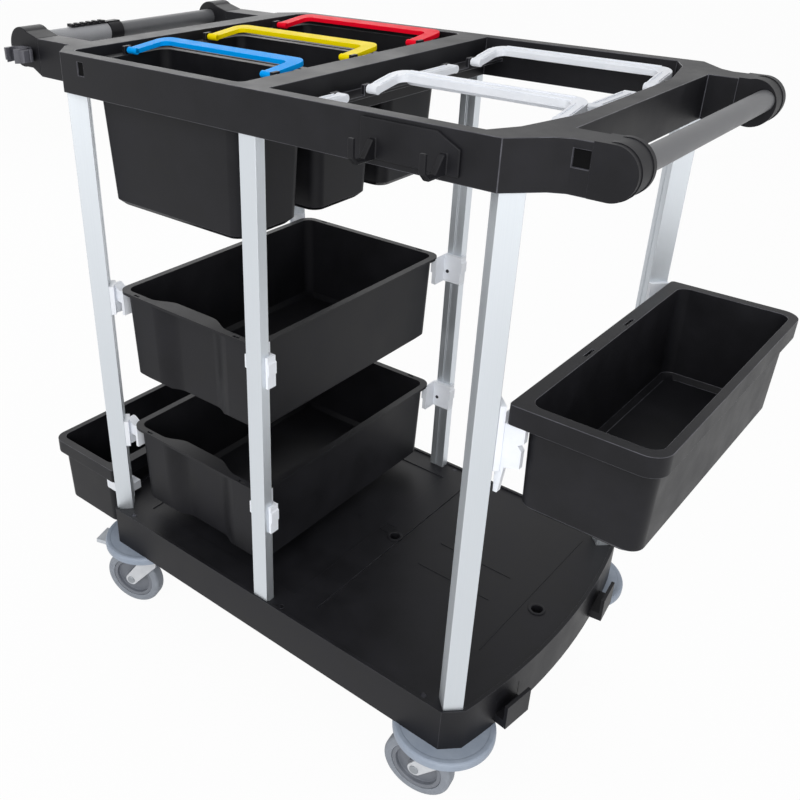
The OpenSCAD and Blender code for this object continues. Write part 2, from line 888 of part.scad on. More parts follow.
module tube(x, half, z) {
    color("#a9abae")
    difference() {
        drum(x, -half, z, tube_r, 2 * half);
        drum(x, -half - over, z, tube_r - tube_wall, 2 * half + 2 * over);
    }
}

module handle_tube_right() {
    tube(right_tube_x, arm_in + tube_socket - tube_gap, right_tube_z);
}

module handle_tube_left() {
    tube(-left_cap_x, arm_in + tube_socket - tube_gap, left_tube_z);
}

module tube_sleeve() {
    color("#c4c6c9")
    difference() {
        drum(-left_cap_x, tube_gap - arm_in, left_tube_z, tube_r + sleeve_wall, sleeve_len);
        drum(-left_cap_x, -arm_in - over, left_tube_z, tube_r, sleeve_len + 2 * over);
    }
}

// Band clamp with a ribbed saddle that lies over the sleeve
module tube_clamp() {
    y0 = sleeve_len - arm_in + 2 * tube_gap;
    saddle_z = left_tube_z + tube_r + sleeve_wall + tube_gap;
    rib_pitch = saddle_l / saddle_ribs;
    color(black)
    difference() {
        union() {
            drum(-left_cap_x, y0, left_tube_z, tube_r + clamp_wall, clamp_w);
            translate([-left_cap_x - tube_r / 2, y0 - saddle_l, saddle_z])
                cube([tube_r, saddle_l + clamp_w, clamp_wall / 2]);
            for (k = [0 : saddle_ribs - 1])
                translate([-left_cap_x - tube_r / 2, y0 - saddle_l + k * rib_pitch,
                           saddle_z + clamp_wall / 4])
                    cube([tube_r, rib_pitch / 2, clamp_wall]);
        }
        drum(-left_cap_x, y0 - over, left_tube_z, tube_r, clamp_w + 2 * over);
    }
}

// Spring clip for a mop handle on the outside of the near left cap, open to the near side
module mop_clip() {
    out_r = clip_r + clip_wall;
    color("#55585e")
    translate([clip_in - left_cap_x, -arm_out - out_r, left_cap_z - clip_low - clip_h / 2])
        difference() {
            union() {
                cylinder(r = out_r, h = clip_h);
                translate([-clip_r, 0, 0]) cube([2 * clip_r, out_r, clip_h]);
            }
            translate([0, 0, -over]) cylinder(r = clip_r, h = clip_h + 2 * over);
            translate([-clip_r * 0.8, -2 * out_r, -over]) cube([clip_r * 1.6, 2 * out_r, clip_h + 2 * over]);
        }
}

// Clips under one tray: pads on the inner faces of four posts, with arms under the tray's side rims
module tray_clips(z) {
    top = z - tray_lip_t - rest_gap;
    low = -clip_pad_h * 0.85;
    up = clip_pad_h + low;
    ledge_end = tray_l / 2 - tray_r;
    reach = (corner_d / 2 + pad_t / 2) / sqrt(2);
    wall_l = tray_x - tray_w / 2 + tray_lip - clip_side_gap;
    wall_r = tray_x + tray_w / 2 - tray_lip + clip_side_gap;
    back = reach - corner_x - wall_l;
    side = mid_x - mid_w / 2 - wall_r;
    rim_x = tray_lip - clip_side_gap + 2 * over;
    color(white)
    for (sy = [-1, 1]) {
        at_corner(-1, sy)
            translate([-corner_w / 2, corner_d / 2, top + low]) cube([corner_w, pad_t, clip_pad_h]);
        on_side(1, sy) {
            translate([wall_l, -ledge_end, top])
                rotate([90, 0, 0])
                    linear_extrude(corner_y - reach - ledge_end)
                        polygon([[back, up], [back + prong_t, up], [-rim_x, 0], [0, 0], [0, low],
                                 [-prong_t, low], [-prong_t, -clip_ledge_h - over],
                                 [-prong_t - over, -clip_ledge_h], [back + prong_t + over, -clip_ledge_h],
                                 [back + prong_t, -clip_ledge_h - over], [back + prong_t, low - over],
                                 [back, low - over]]);
            translate([mid_x - mid_w / 2 - over, -mid_inner, top + low])
                cube([mid_w + 2 * over, pad_t, clip_pad_h]);
            translate([wall_r, -ledge_end, top])
                rotate([90, 0, 0])
                    linear_extrude(mid_inner + mid_d / 2 - ledge_end)
                        polygon([[side - rest_gap, up], [rim_x, up / 2], [rim_x, 0], [0, 0],
                                 [0, -clip_ledge_h], [prong_t / 2, -clip_ledge_h - over],
                                 [prong_t / 2, low], [side - rest_gap, low - over]]);
            translate([mid_x + mid_w / 2 + rest_gap, -mid_inner + pad_t, top])
                rotate([90, 0, 0])
                    linear_extrude(pad_t + mid_d / 2)
                        polygon([[0, up], [prong_t - over, up], [prong_t - over, -over],
                                 [prong_t + over, -prong_t / 2], [prong_t + over, -clip_ledge_h],
                                 [prong_t - over, -clip_ledge_h - over], [prong_t - over, low], [0, low]]);
        }
    }
}

// Brackets for one bin: plates on two posts, arms under the apron, upstands behind it and prongs below
module bin_brackets(sx, x, z) {
    arm_top = z - apron_h - 2 * over;
    arm_z = arm_top - bracket_arm_h;
    plate_top = arm_z - over;
    plate_low = plate_top - bracket_plate_h;
    reach = (corner_w / 2 + pad_t / 2) / sqrt(2);
    post_x = corner_x + reach;
    tub_x = x + bin_lip + bin_shift;
    up_x = x + apron_t + upstand_gap;
    up_y = bin_l / 2 - bin_r - over;
    plate_y = bin_l / 2 - bin_lip + upstand_gap;
    color(white)
    for (sy = [-1, 1])
        difference() {
            union() {
                at_corner(sx, sy)
                    translate([corner_w / 2 + rest_gap, -corner_d / 2, plate_low])
                        cube([pad_t, corner_d, z - bin_lip_t - plate_low]);
                on_side(sx, sy) {
                    translate([post_x, reach - corner_y, arm_z])
                        cube([up_x + upstand_t - post_x, corner_y - reach - up_y + upstand_w, bracket_arm_h]);
                    translate([up_x, -up_y, arm_z])
                        cube([upstand_t, upstand_w, z - bin_lip_t - rest_gap - arm_z]);
                    translate([0, -plate_y, 0])
                        rotate([90, 0, 0])
                            linear_extrude(pad_t)
                                polygon([[corner_x, plate_top - pad_t], [post_x, arm_top],
                                         [tub_x + pad_t, arm_top], [tub_x + pad_t, plate_top],
                                         [tub_x, plate_top - prong_t],
                                         [tub_x + prong_t, plate_top - 2 * prong_t],
                                         [tub_x + prong_t, plate_low + 2 * prong_t],
                                         [post_x + 3 * prong_t, plate_low + prong_t],
                                         [post_x + 2 * prong_t + over, z - bracket_h + over],
                                         [post_x + 2 * prong_t, z - bracket_h],
                                         [post_x + prong_t + over, z - bracket_h],
                                         [post_x + prong_t, plate_low], [corner_x, plate_low]]);
                }
            }
            translate([0, 0, deck_top + over - bracket_h]) linear_extrude(frame_top) each_post_2d(rest_gap);
            linear_extrude(deck_top + 2 * over) square(4 * tip_x, center = true);
        }
}

// Plate on the near side of the frame with two hooks
module hook_plate() {
    slant = plate_h / 3;
    bend = 2 * hook_t;
    web = hook_up * 3 / 4;
    z0 = frame_top - plate_h - hook_t;
    face = -half_w - plate_t;
    color(black) {
        translate([plate_x, -half_w, z0])
            rotate([90, 0, 0])
                linear_extrude(plate_t)
                    polygon([[-plate_l / 2, 0], [plate_l / 2, 0], [plate_l / 2, plate_h - slant],
                             [plate_l / 2 - 2 * slant, plate_h], [-plate_l / 2, plate_h]]);
        for (s = [-1, 1])
            translate([plate_x + s * hook_pitch / 2 - hook_w / 2, face, z0])
                rotate([90, 0, 90])
                    linear_extrude(hook_w)
                        polygon([[eps, 0], [bend - hook_out, 0], [-hook_out, bend], [-hook_out, hook_up],
                                 [hook_t - hook_out, hook_up], [hook_t - hook_out, bend + over],
                                 [bend + over - hook_out, hook_t], [-2 * bend, hook_t],
                                 [-hook_t, web], [eps, web]]);
    }
}

// Trays, bins and buckets

// Plan of the finger recess, grown by g: a smooth bump into the tray from its front wall
function grip_bump(x) = 0.5 + 0.5 * cos(180 * min(1, max(0, (abs(x) - grip_flat) / (grip_half - grip_flat))));

module grip_2d(g) {
    wide = (grip_half + g) / grip_half;
    curve = [for (k = [-grip_n : grip_n])
             let (x = k * grip_half / grip_n) [x * wide, g + grip_d * grip_bump(x)]];
    polygon(concat([[-grip_half * wide, -tray_lip]], curve, [[grip_half * wide, -tray_lip]]));
}

// The recess as a prism that leans with the front wall, from its foot up to z = top
module grip(g, wall_y, top) {
    translate([0, wall_y, 0])
        rotate([atan(tray_draft / tray_h), 0, 0])
            translate([0, 0, top - 2 * tray_h])
                linear_extrude(2 * tray_h)
                    grip_2d(g);
}

module tray(z) {
    inner_l = tray_w - 2 * tray_lip;
    inner_w = tray_l - 2 * tray_lip;
    inner_r = tray_r - tray_lip / 2;
    color(black)
    translate([tray_x, 0, z])
        difference() {
            union() {
                tub(inner_l, inner_w, tray_h, tray_draft, inner_r, tray_wall);
                rim(tray_w, tray_l, tray_r, inner_l - tray_wall, inner_w - tray_wall, inner_r, tray_lip_t);
                intersection() {
                    tub_block(inner_l, inner_w, tray_h, tray_draft, inner_r, -over);
                    grip(tray_wall, -inner_w / 2, tray_h);
                }
            }
            grip(0, -inner_w / 2, -tray_lip_t);
            for (sx = [-1, 1])
                for (sy = [-1, 1])
                    translate([sx * (tray_w / 2 - 2 * tray_r), sy * (tray_l / 2 - tray_lip / 2), 0])
                        cube([slot_l / 2, slot_t, 3 * tray_lip_t], center = true);
        }
}

// Plan of a bin's rim drawn in by i: round corners on the outside, nearly square ones beside the cart
module bin_2d(i) {
    rounded(bin_w - 2 * i, bin_l - 2 * i, bin_r - i);
    translate([i / 2 - bin_w / 4, 0])
        rounded(bin_w / 2 - i, bin_l - 2 * i, bin_square_r);
}

module bin(sx, x, z) {
    inner_l = bin_w - 2 * bin_lip;
    inner_w = bin_l - 2 * bin_lip;
    inner_r = bin_r - bin_lip / 2;
    color(black)
    on_side(sx, 1)
        translate([x + bin_w / 2, 0, z])
            difference() {
                union() {
                    translate([bin_shift, 0, 0]) tub(inner_l, inner_w, bin_h, bin_draft, inner_r, bin_wall);
                    translate([0, 0, -bin_lip_t])
                        linear_extrude(bin_lip_t)
                            difference() {
                                bin_2d(0);
                                translate([bin_shift, 0])
                                    rounded(inner_l - bin_wall, inner_w - bin_wall, inner_r);
                            }
                    translate([0, 0, -apron_h])
                        linear_extrude(apron_h)
                            difference() {
                                bin_2d(0);
                                bin_2d(apron_t);
                            }
                }
                for (sy = [-1, 1])
                    translate([bin_lip - bin_w / 2, sy * bin_l / 8, 0])
                        cube([slot_t, slot_l, 3 * bin_lip_t], center = true);
            }
}

module bucket(k) {
    color(black)
    translate([bucket_x, k * bucket_pitch, rim_z])
        difference() {
            union() {
                tub(body_l, body_w, bucket_h, bucket_draft, bucket_r - bucket_lip / 2, bucket_wall);
                rim(bucket_l, bucket_w, bucket_r, body_l - bucket_wall, body_w - bucket_wall,
                    bucket_r - bucket_lip / 2, bucket_lip_t);
                for (sx = [-1, 1])
                    translate([sx * (bail_l / 2 + ear_gap + ear_t / 2), 0, ear_top / 2 - over])
                        cube([ear_t, ear_w, ear_top + 2 * over], center = true);
            }
            translate([-bucket_l, 0, bail_pivot_h])
                rotate([0, 90, 0]) cylinder(r = bail_pin_r + run_gap, h = 2 * bucket_l);
        }
}

// A bail folded towards +Y: its pivot axis is X, l is its width over the arms, w its strap's
module bail(l, w, reach, t, tilt) {
    rotate([tilt, 0, 0]) {
        translate([0, 0, -t / 2])
            linear_extrude(t)
                difference() {
                    union() {
                        translate([0, reach / 2]) rounded(l, reach, bail_r);
                        translate([-l / 2, 0]) square([l, reach / 2]);
                    }
                    translate([0, (reach - w) / 2])
                        rounded(l - 2 * w, reach - w, bail_r - w / 2);
                    translate([w - l / 2, -over]) square([l - 2 * w, reach / 2]);
                }
        for (x = [-l / 2, l / 2 - w])
            drum_x(x, t / 2 + over, w);
        for (x = [-l / 2 - ear_gap - ear_t, l / 2 - w / 2])
            drum_x(x, bail_pin_r, ear_t + ear_gap + w / 2);
    }
}

module drum_x(x, r, l) {
    translate([x, 0, 0])
        rotate([0, 90, 0])
            cylinder(r = r, h = l);
}

module bucket_bail(k, tint) {
    color(tint)
    translate([bucket_x, k * bucket_pitch, rim_z + bail_pivot_h])
        bail(bail_l, bail_w, bail_reach, bail_t, bail_tilt);
}

// Bag bail with its pivots at y, folded towards dir
module bag_bail(y, dir, reach, tilt) {
    color(white)
    translate([bag_x, y, bag_z + bag_pivot_h])
        mirror([0, dir < 0 ? 1 : 0, 0])
            bail(bag_l, bag_w, reach, bag_t, tilt);
}

// Castors

module at_castor(sx, sy, turn) {
    translate([sx * castor_x, sy * castor_y, 0])
        rotate([0, 0, turn])
            children();
}

module drum_y(x, z, r, half) {
    translate([x, -half, z])
        rotate([-90, 0, 0])
            cylinder(r = r, h = 2 * half);
}

// Side plate of a fork: a head under the bumper and a raked leg down to the axle
module fork_plate_2d(brake) {
    cheek_top = fork_top - pad_t;
    head = boss_r * 0.8;
    rake = atan2(head_z - wheel_r, head + trail - leg_w / 2);
    dx = leg_w / 2 * sin(rake);
    dz = leg_w / 2 * cos(rake);
    foot_x = head - dx;
    polygon([[-trail - dx, wheel_r + dz], [dx - trail, wheel_r - dz], [head, head_z - 2 * dz],
             [head, cheek_top], [-head, cheek_top], [-head, head_z], [foot_x - 2 * dx, head_z]]);
    translate([-trail, wheel_r]) circle(r = leg_w / 2);
    if (brake)
        polygon([[over - head, cheek_top], [over - head, head_z], [pedal_x, head_z],
                 [pedal_x - 2 * pedal_eye_r, pedal_z], [pedal_x - 2 * pedal_eye_r, cheek_top]]);
}

module castor_fork(sx, sy, turn) {
    cheek_top = fork_top - pad_t;
    brake = sx < 0;
    color("#dcdde0")
    at_castor(sx, sy, turn)
        difference() {
            union() {
                for (s = [-1, 1])
                    translate([0, s * (fork_in + fork_t / 2) + fork_t / 2, 0])
                        rotate([90, 0, 0])
                            linear_extrude(fork_t)
                                fork_plate_2d(brake);
                translate([-boss_r * 0.8, -fork_out, head_z])
                    cube([boss_r * 1.6, 2 * fork_out, cheek_top - head_z]);
                translate([0, 0, cheek_top - pad_t])
                    cylinder(r = boss_r * 0.9, h = fork_top - cheek_top + pad_t);
                translate([0, 0, cheek_top]) cylinder(r = stem_r, h = deck_bottom + stem_h - cheek_top);
            }
            drum_y(-trail, wheel_r, axle_r + run_gap, 2 * fork_out);
            if (brake)
                drum_y(pedal_x, pedal_z, pedal_pin_r + run_gap, 2 * fork_out);
        }
}

module castor_axle(sx, sy, turn) {
    head_h = fork_t / 2;
    color("#8b8e93")
    at_castor(sx, sy, turn) {
        drum_y(-trail, wheel_r, axle_r, fork_out + head_h);
        for (s = [-1, 1])
            translate([-trail, s * (fork_out + head_h / 2) - head_h / 2, wheel_r])
                rotate([-90, 0, 0]) cylinder(r = 2 * axle_r, h = head_h);
    }
}

module wheel_hub(sx, sy, turn) {
    rim_in = hub_r - tyre_t / 2;
    color("#c9cbce")
    at_castor(sx, sy, turn)
        difference() {
            union() {
                drum_y(-trail, wheel_r, barrel_r, fork_in - fork_gap / 2);
                drum_y(-trail, wheel_r, hub_r - over, web_t / 2);
                difference() {
                    drum_y(-trail, wheel_r, hub_r, wheel_w / 2 - over);
                    drum_y(-trail, wheel_r, rim_in, wheel_w);
                }
            }
            drum_y(-trail, wheel_r, axle_r + run_gap, wheel_w);
        }
}

module tyre(sx, sy, turn) {
    color("#8c9097")
    at_castor(sx, sy, turn)
        translate([-trail, 0, wheel_r])
            rotate([90, 0, 0])
                rotate_extrude()
                    translate([hub_r, 0]) {
                        translate([0, -wheel_w / 2]) square([tyre_t - tyre_round, wheel_w]);
                        translate([0, tyre_round - wheel_w / 2]) square([tyre_t, wheel_w - 2 * tyre_round]);
                        for (s = [-1, 1])
                            translate([tyre_t - tyre_round, s * (wheel_w / 2 - tyre_round)])
                                circle(r = tyre_round);
                    }
}

module brake_pedal(sx, sy, turn) {
    color("#e4e6e8")
    at_castor(sx, sy, turn) {
        drum_y(pedal_x, pedal_z, pedal_eye_r, fork_in - rest_gap);
        drum_y(pedal_x, pedal_z, pedal_pin_r, fork_out);
        translate([pedal_x - pedal_l / 2, rest_gap - fork_in, pedal_z - pedal_t / 2])
            cube([pedal_l / 2, 2 * fork_in - 2 * rest_gap, pedal_t]);
        translate([pedal_x - pedal_l, -pedal_w / 2, pedal_z - pedal_t / 2])
            cube([pedal_l / 2 + eps, pedal_w, pedal_t]);
    }
}

base_deck();
deck_screws();
deck_hooks();
castor_bumpers();
corner_post(-1, -1);  // post_near_left
mid_post(-1);  // post_near_mid
corner_post(1, -1);  // post_near_right
corner_post(-1, 1);  // post_far_left
mid_post(1);  // post_far_mid
corner_post(1, 1);  // post_far_right
top_frame();
handle_cap_right(-1);  // handle_cap_near_right
handle_cap_right(1);  // handle_cap_far_right
handle_cap_left(-1);  // handle_cap_near_left
handle_cap_left(1);  // handle_cap_far_left
handle_tube_right();
handle_tube_left();
tube_sleeve();
tube_clamp();
mop_clip();
tray_clips(tray_upper_z);  // tray_clips_upper
tray_clips(tray_lower_z);  // tray_clips_lower
bin_brackets(1, bin_right_x, bin_right_z);  // bin_brackets_right
bin_brackets(-1, bin_left_x, bin_left_z);  // bin_brackets_left
hook_plate();
tray(tray_upper_z);  // tray_upper
tray(tray_lower_z);  // tray_lower
bin(1, bin_right_x, bin_right_z);  // bin_right
bin(-1, bin_left_x, bin_left_z);  // bin_left
bucket(-1);  // bucket_near
bucket(0);  // bucket_middle
bucket(1);  // bucket_far
bucket_bail(-1, "#009cff");  // bail_blue
bucket_bail(0, "#ffe000");  // bail_yellow
bucket_bail(1, "#ff0020");  // bail_red
bag_bail(-bag_out, -1, bag_reach, 0);  // bag_bail_near
bag_bail(-bag_in, 1, bag_reach, bag_tilt);  // bag_bail_inner_near
bag_bail(bag_in, -1, bag_long, 0);  // bag_bail_inner_far
bag_bail(bag_out, 1, bag_reach, bag_tilt);  // bag_bail_far
castor_fork(-1, -1, turn_near_left);  // castor_fork_near_left
castor_fork(1, -1, turn_near_right);  // castor_fork_near_right
castor_fork(-1, 1, turn_far_left);  // castor_fork_far_left
castor_fork(1, 1, turn_far_right);  // castor_fork_far_right
castor_axle(-1, -1, turn_near_left);  // castor_axle_near_left
castor_axle(1, -1, turn_near_right);  // castor_axle_near_right
castor_axle(-1, 1, turn_far_left);  // castor_axle_far_left
castor_axle(1, 1, turn_far_right);  // castor_axle_far_right
wheel_hub(-1, -1, turn_near_left);  // wheel_hub_near_left
wheel_hub(1, -1, turn_near_right);  // wheel_hub_near_right
wheel_hub(-1, 1, turn_far_left);  // wheel_hub_far_left
wheel_hub(1, 1, turn_far_right);  // wheel_hub_far_right
tyre(-1, -1, turn_near_left);  // tyre_near_left
tyre(1, -1, turn_near_right);  // tyre_near_right
tyre(-1, 1, turn_far_left);  // tyre_far_left
tyre(1, 1, turn_far_right);  // tyre_far_right
brake_pedal(-1, -1, turn_near_left);  // brake_pedal_near_left
brake_pedal(-1, 1, turn_far_left);  // brake_pedal_far_left
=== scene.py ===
"""Looks of a janitor cart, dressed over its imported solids: moulded deck and top frame on bright
posts, lift-out buckets, pull-out trays, hung bins, bag bails and swivel castors."""

import json
import math

import bmesh
import bpy
from bpy.props import FloatProperty, FloatVectorProperty, PointerProperty
from bpy.types import Operator, Panel, PropertyGroup
from mathutils import Matrix, Vector


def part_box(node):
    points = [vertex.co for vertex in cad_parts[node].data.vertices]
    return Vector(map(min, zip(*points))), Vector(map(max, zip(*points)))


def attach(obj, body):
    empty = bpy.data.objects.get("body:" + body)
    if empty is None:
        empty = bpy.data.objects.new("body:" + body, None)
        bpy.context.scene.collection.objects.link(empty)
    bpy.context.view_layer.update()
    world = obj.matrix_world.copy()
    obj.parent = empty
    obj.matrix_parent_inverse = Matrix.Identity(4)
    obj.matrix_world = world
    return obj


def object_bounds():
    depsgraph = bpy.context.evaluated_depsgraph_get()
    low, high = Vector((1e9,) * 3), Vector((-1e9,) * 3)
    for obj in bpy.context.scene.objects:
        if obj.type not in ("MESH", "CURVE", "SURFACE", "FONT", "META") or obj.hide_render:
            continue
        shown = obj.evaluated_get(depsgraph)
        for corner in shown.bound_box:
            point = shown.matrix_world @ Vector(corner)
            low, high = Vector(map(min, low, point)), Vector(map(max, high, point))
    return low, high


bl_info = {
    "name": "Janitor Cart Looks",
    "version": (1, 0, 0),
    "blender": (4, 5, 0),
    "location": "View3D > Sidebar > Cart",
    "description": "Dresses the cart's packed solids with edges, fittings, finishes and a studio",
    "category": "Object",
}

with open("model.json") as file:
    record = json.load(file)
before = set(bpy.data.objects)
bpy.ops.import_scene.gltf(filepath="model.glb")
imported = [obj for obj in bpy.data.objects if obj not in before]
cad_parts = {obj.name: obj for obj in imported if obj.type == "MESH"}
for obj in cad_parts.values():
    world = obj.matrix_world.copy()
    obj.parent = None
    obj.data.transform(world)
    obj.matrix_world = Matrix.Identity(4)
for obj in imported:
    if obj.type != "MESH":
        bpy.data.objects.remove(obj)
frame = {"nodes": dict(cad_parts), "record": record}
NODES = frame["nodes"]
JOINTS = {joint["name"]: joint for joint in frame["record"]["behaviour"]["joints"]}
CAD_LOW, CAD_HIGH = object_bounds()
MM = 0.001

# The photo's camera, fitted to the cart's straight edges
IMAGE_PX = 800
FOCAL_PX = 921.04
CENTRE_PX = (305.7, 383.4)
CAMERA_PLACE = (0.842, -1.126, 1.3476)
CAMERA_AZIMUTH = 40.85
CAMERA_ELEVATION = 29.41
CAMERA_ROLL = 0.115
SENSOR_MM = 36.0

# Places on the deck, in millimetres: its drain holes, and the marks moulded into its floor
FLOOR_DROP = 3.0
PANEL_DROP = 5.0
DRAINS = ((80.5, 10.0), (375.0, 10.0))
RIB_ENDS = (156.0, 302.0)
RIB_ROWS = (-23.0, 50.0)
BEAD_X = 350.0
BEAD_ENDS = (-132.0, 228.0)
POCKET = (56.0, 22.0)
POCKET_HALF = 11.0
KEY_SLOT = (-10.0, 20.0)
# Width and height of these marks, with their length first where it isn't given above, in millimetres
RIB = (3.0, 1.0)
BEAD = (2.4, 0.9)
POCKET_SIDE = (24.0, 2.0, 1.1)
SLOT_LIP = (13.0, 5.0, 1.2)
# How deep a fitting is set into what carries it, in millimetres
SUNK = 0.2
# Edges that are rounded, in degrees, faces that count as one flat face, in degrees, and points that
# count as one, in millimetres
SHARP_DEG = 40.0
FLAT_DEG = 0.5
WELD = 0.005
# Recesses in the frame's outer sides, in millimetres: the left end, length and distance of the floor
# from the middle for the left and right ones, and the heights of both
RECESSES = ((-336.0, 14.0, 278.0), (433.0, 20.0, 231.0))
RECESS_Z = (1074.5, 1094.2)
RECESS_RIM = 0.4
# Fittings on the posts, in millimetres: the slots, the clip pads and the pads' screws, which stand
# aside from the middle of a post's face and at a share of the clip's height
SLOT_W = 5.0
SLOT_PLAY = 0.15
INLAY_GAP = 0.5
PAD_T = 8.0
CLIP_SCREW_R = 3.4
MID_SCREW_ASIDE = 7.0
CORNER_SCREW_ASIDE = 9.0
CLIP_SCREW_LEVEL = 0.4
# Straps of the bucket bails and their eyes, in millimetres
BAIL_W = 21.0
BAIL_SPAN = 304.0
EYE_R = 5.2
EYE_EDGE = 1.4
# Straps of the bag bails and their beads and ribs, in millimetres, and the raised ones' tilt in degrees
BAG_W = 17.0
BAG_T = 10.0
BAG_SPAN = 293.0
BAG_CORNER = 22.0
BAG_FOOT = 10.0
BAG_TILT = 10.0
BEAD_W = 3.0
BEAD_H = 1.6
BAR_RIBS = 7
BAR_RIB_PITCH = 16.0
BAR_RIB_W = 2.0
# Sections of fittings, in millimetres: the drain cups as (radius, height), the bumper rims as
# (distance in from the disc's edge, height), and a mop clip's pad as (reach, place along it)
CUP_SECTION = ((0, -16), (10.8, -16), (10.8, 0.1), (14.5, 0.1), (14.5, 1.2), (13.6, 1.8), (10.4, 1.8),
               (9.4, 0.8), (9.4, -13.5), (0, -13.5))
RIM_SECTION = ((10, -0.5), (2.2, -0.5), (2.2, 0.2), (3.4, 0.9), (8.6, 0.9), (10, 0.1))
GRIP_SECTION = ((-2.0, -10.0), (-2.0, 10.0), (7.0, 10.0), (9.0, 8.0), (9.0, 4.0), (8.0, 3.2), (8.0, 2.0),
                (9.0, 1.2), (9.0, -8.0), (7.0, -10.0))
GRIP_INSET = 1.5
# Section of a button head screw as (radius, height), in parts of its radius
SCREW_SECTION = ((0, 0.24), (0.36, 0.24), (0.4, 0.5), (0.62, 0.48), (0.88, 0.32), (1.0, 0.06), (1.0, -0.1),
                 (0, -0.1))


def linear(code):
    """Linear RGBA of an sRGB hex colour."""
    parts = [int(code[k : k + 2], 16) / 255 for k in (1, 3, 5)]
    return tuple(c / 12.92 if c <= 0.04045 else ((c + 0.055) / 1.055) ** 2.4 for c in parts) + (1.0,)


class CartSizes(PropertyGroup):
    """Sizes of the cart's edges that a user would change."""

    moulded_edge: FloatProperty(
        name="Moulded edge", description="Rounding of the mouldings', forks' and clips' edges",
        default=1.6 * MM, min=0.0, unit="LENGTH")
    rim_edge: FloatProperty(
        name="Rim edge", description="Rounding of the rims of trays, bins and buckets",
        default=1.2 * MM, min=0.0, unit="LENGTH")
    strap_edge: FloatProperty(
        name="Strap edge", description="Rounding of the bails' straps",
        default=2.4 * MM, min=0.0, unit="LENGTH")
    metal_edge: FloatProperty(
        name="Metal edge", description="Rounding of the posts', tubes', tyres' and top frame's edges",
        default=0.8 * MM, min=0.0, unit="LENGTH")


class CartColours(PropertyGroup):
    """Colours of the cart's finishes."""

    black: FloatVectorProperty(
        name="Black", description="Recycled black plastic", subtype="COLOR", size=4,
        default=linear("#17171a"), min=0, max=1)
    black_fleck: FloatVectorProperty(
        name="Black fleck", description="Paler flow marks in the recycled plastic", subtype="COLOR", size=4,
        default=linear("#212125"), min=0, max=1)
    # Painted highlight: the paler colour given to the rounded edges of the black mouldings
    black_edge_highlight: FloatVectorProperty(
        name="Black edge highlight", description="Painted highlight on the black mouldings' edges", subtype="COLOR", size=4,
        default=linear("#56565d"), min=0, max=1)
    aluminium: FloatVectorProperty(
        name="Aluminium", description="Anodised posts", subtype="COLOR", size=4,
        default=linear("#d8dde2"), min=0, max=1)
    tube: FloatVectorProperty(
        name="Tube", description="Push tubes", subtype="COLOR", size=4,
        default=linear("#5c5d60"), min=0, max=1)
    white: FloatVectorProperty(
        name="White", description="Clips, brackets and bag bails", subtype="COLOR", size=4,
        default=linear("#eff2f8"), min=0, max=1)
    blue: FloatVectorProperty(
        name="Blue", description="Bail of the near bucket", subtype="COLOR", size=4,
        default=linear("#00a4ff"), min=0, max=1)
    yellow: FloatVectorProperty(
        name="Yellow", description="Bail of the middle bucket", subtype="COLOR", size=4,
        default=linear("#ffe600"), min=0, max=1)
    red: FloatVectorProperty(
        name="Red", description="Bail of the far bucket", subtype="COLOR", size=4,
        default=linear("#fb0c2c"), min=0, max=1)
    floor: FloatVectorProperty(
        name="Floor", description="Floor and background", subtype="COLOR", size=4,
        default=linear("#ffffff"), min=0, max=1)


# Materials

# Noise values between which a finish changes its colour and its shine, and how far its roughness strays
TINT_STOPS = (0.35, 0.8)
NOISE_LOW, NOISE_HIGH = 0.3, 0.7
SHINIER, DULLER, METAL_DULLER = 0.05, 0.06, 0.07
# Flow marks of the coloured plastics, as a share of their colour
FLOW_SHADE = 0.94


def add_node(tree, kind, values=(), links=(), **settings):
    """One shader node with its settings, socket values and incoming links."""
    node = tree.nodes.new("ShaderNode" + kind)
    for name, value in settings.items():
        setattr(node, name, value)
    for socket, value in values:
        node.inputs[socket].default_value = value
    for socket, source in links:
        tree.links.new(source, node.inputs[socket])
    return node


def start_material(name):
    """An empty node material with a Principled shader, returned as (material, tree, shader)."""
    material = bpy.data.materials.new(name)
    material.use_nodes = True
    tree = material.node_tree
    tree.nodes.clear()
    shader = add_node(tree, "BsdfPrincipled")
    add_node(tree, "OutputMaterial", links=[("Surface", shader.outputs["BSDF"])])
    return material, tree, shader


def per_metre(mm):
    """Noise scale whose features are about mm wide, for coordinates in metres."""
    return 1000.0 / mm


def moulded(name, colour, fleck, *, roughness, grain_mm, flow_mm, depth_mm, ior, gloss=0.5):
    """Moulded or coated surface: slow flow marks in its colour and shine, and a fine grain.

    The real grain is 0.2 to 0.5 mm wide. It is drawn 3 to 8 times as coarse, so that it shows at all."""
    material, tree, shader = start_material(name)
    place = add_node(tree, "TexCoord").outputs["Object"]
    flow = add_node(
        tree, "TexNoise", values=[("Scale", per_metre(flow_mm)), ("Detail", 4.0), ("Roughness", 0.6)],
        links=[("Vector", place)])
    grain = add_node(
        tree, "TexNoise", values=[("Scale", per_metre(grain_mm)), ("Detail", 2.0)], links=[("Vector", place)])
    tint = add_node(tree, "ValToRGB", links=[("Fac", flow.outputs["Fac"])])
    for stop, position, shade in zip(tint.color_ramp.elements, TINT_STOPS, (colour, fleck)):
        stop.position = position
        stop.color = shade
    shine = add_node(
        tree, "MapRange",
        values=[("From Min", NOISE_LOW), ("From Max", NOISE_HIGH),
                ("To Min", roughness - SHINIER), ("To Max", roughness + DULLER)],
        links=[("Value", flow.outputs["Fac"])])
    bump = add_node(
        tree, "Bump", values=[("Strength", 0.35), ("Distance", depth_mm * MM)],
        links=[("Height", grain.outputs["Fac"])])
    tree.links.new(tint.outputs["Color"], shader.inputs["Base Color"])
    tree.links.new(shine.outputs["Result"], shader.inputs["Roughness"])
    tree.links.new(bump.outputs["Normal"], shader.inputs["Normal"])
    shader.inputs["IOR"].default_value = ior
    shader.inputs["Specular IOR Level"].default_value = gloss
    return material


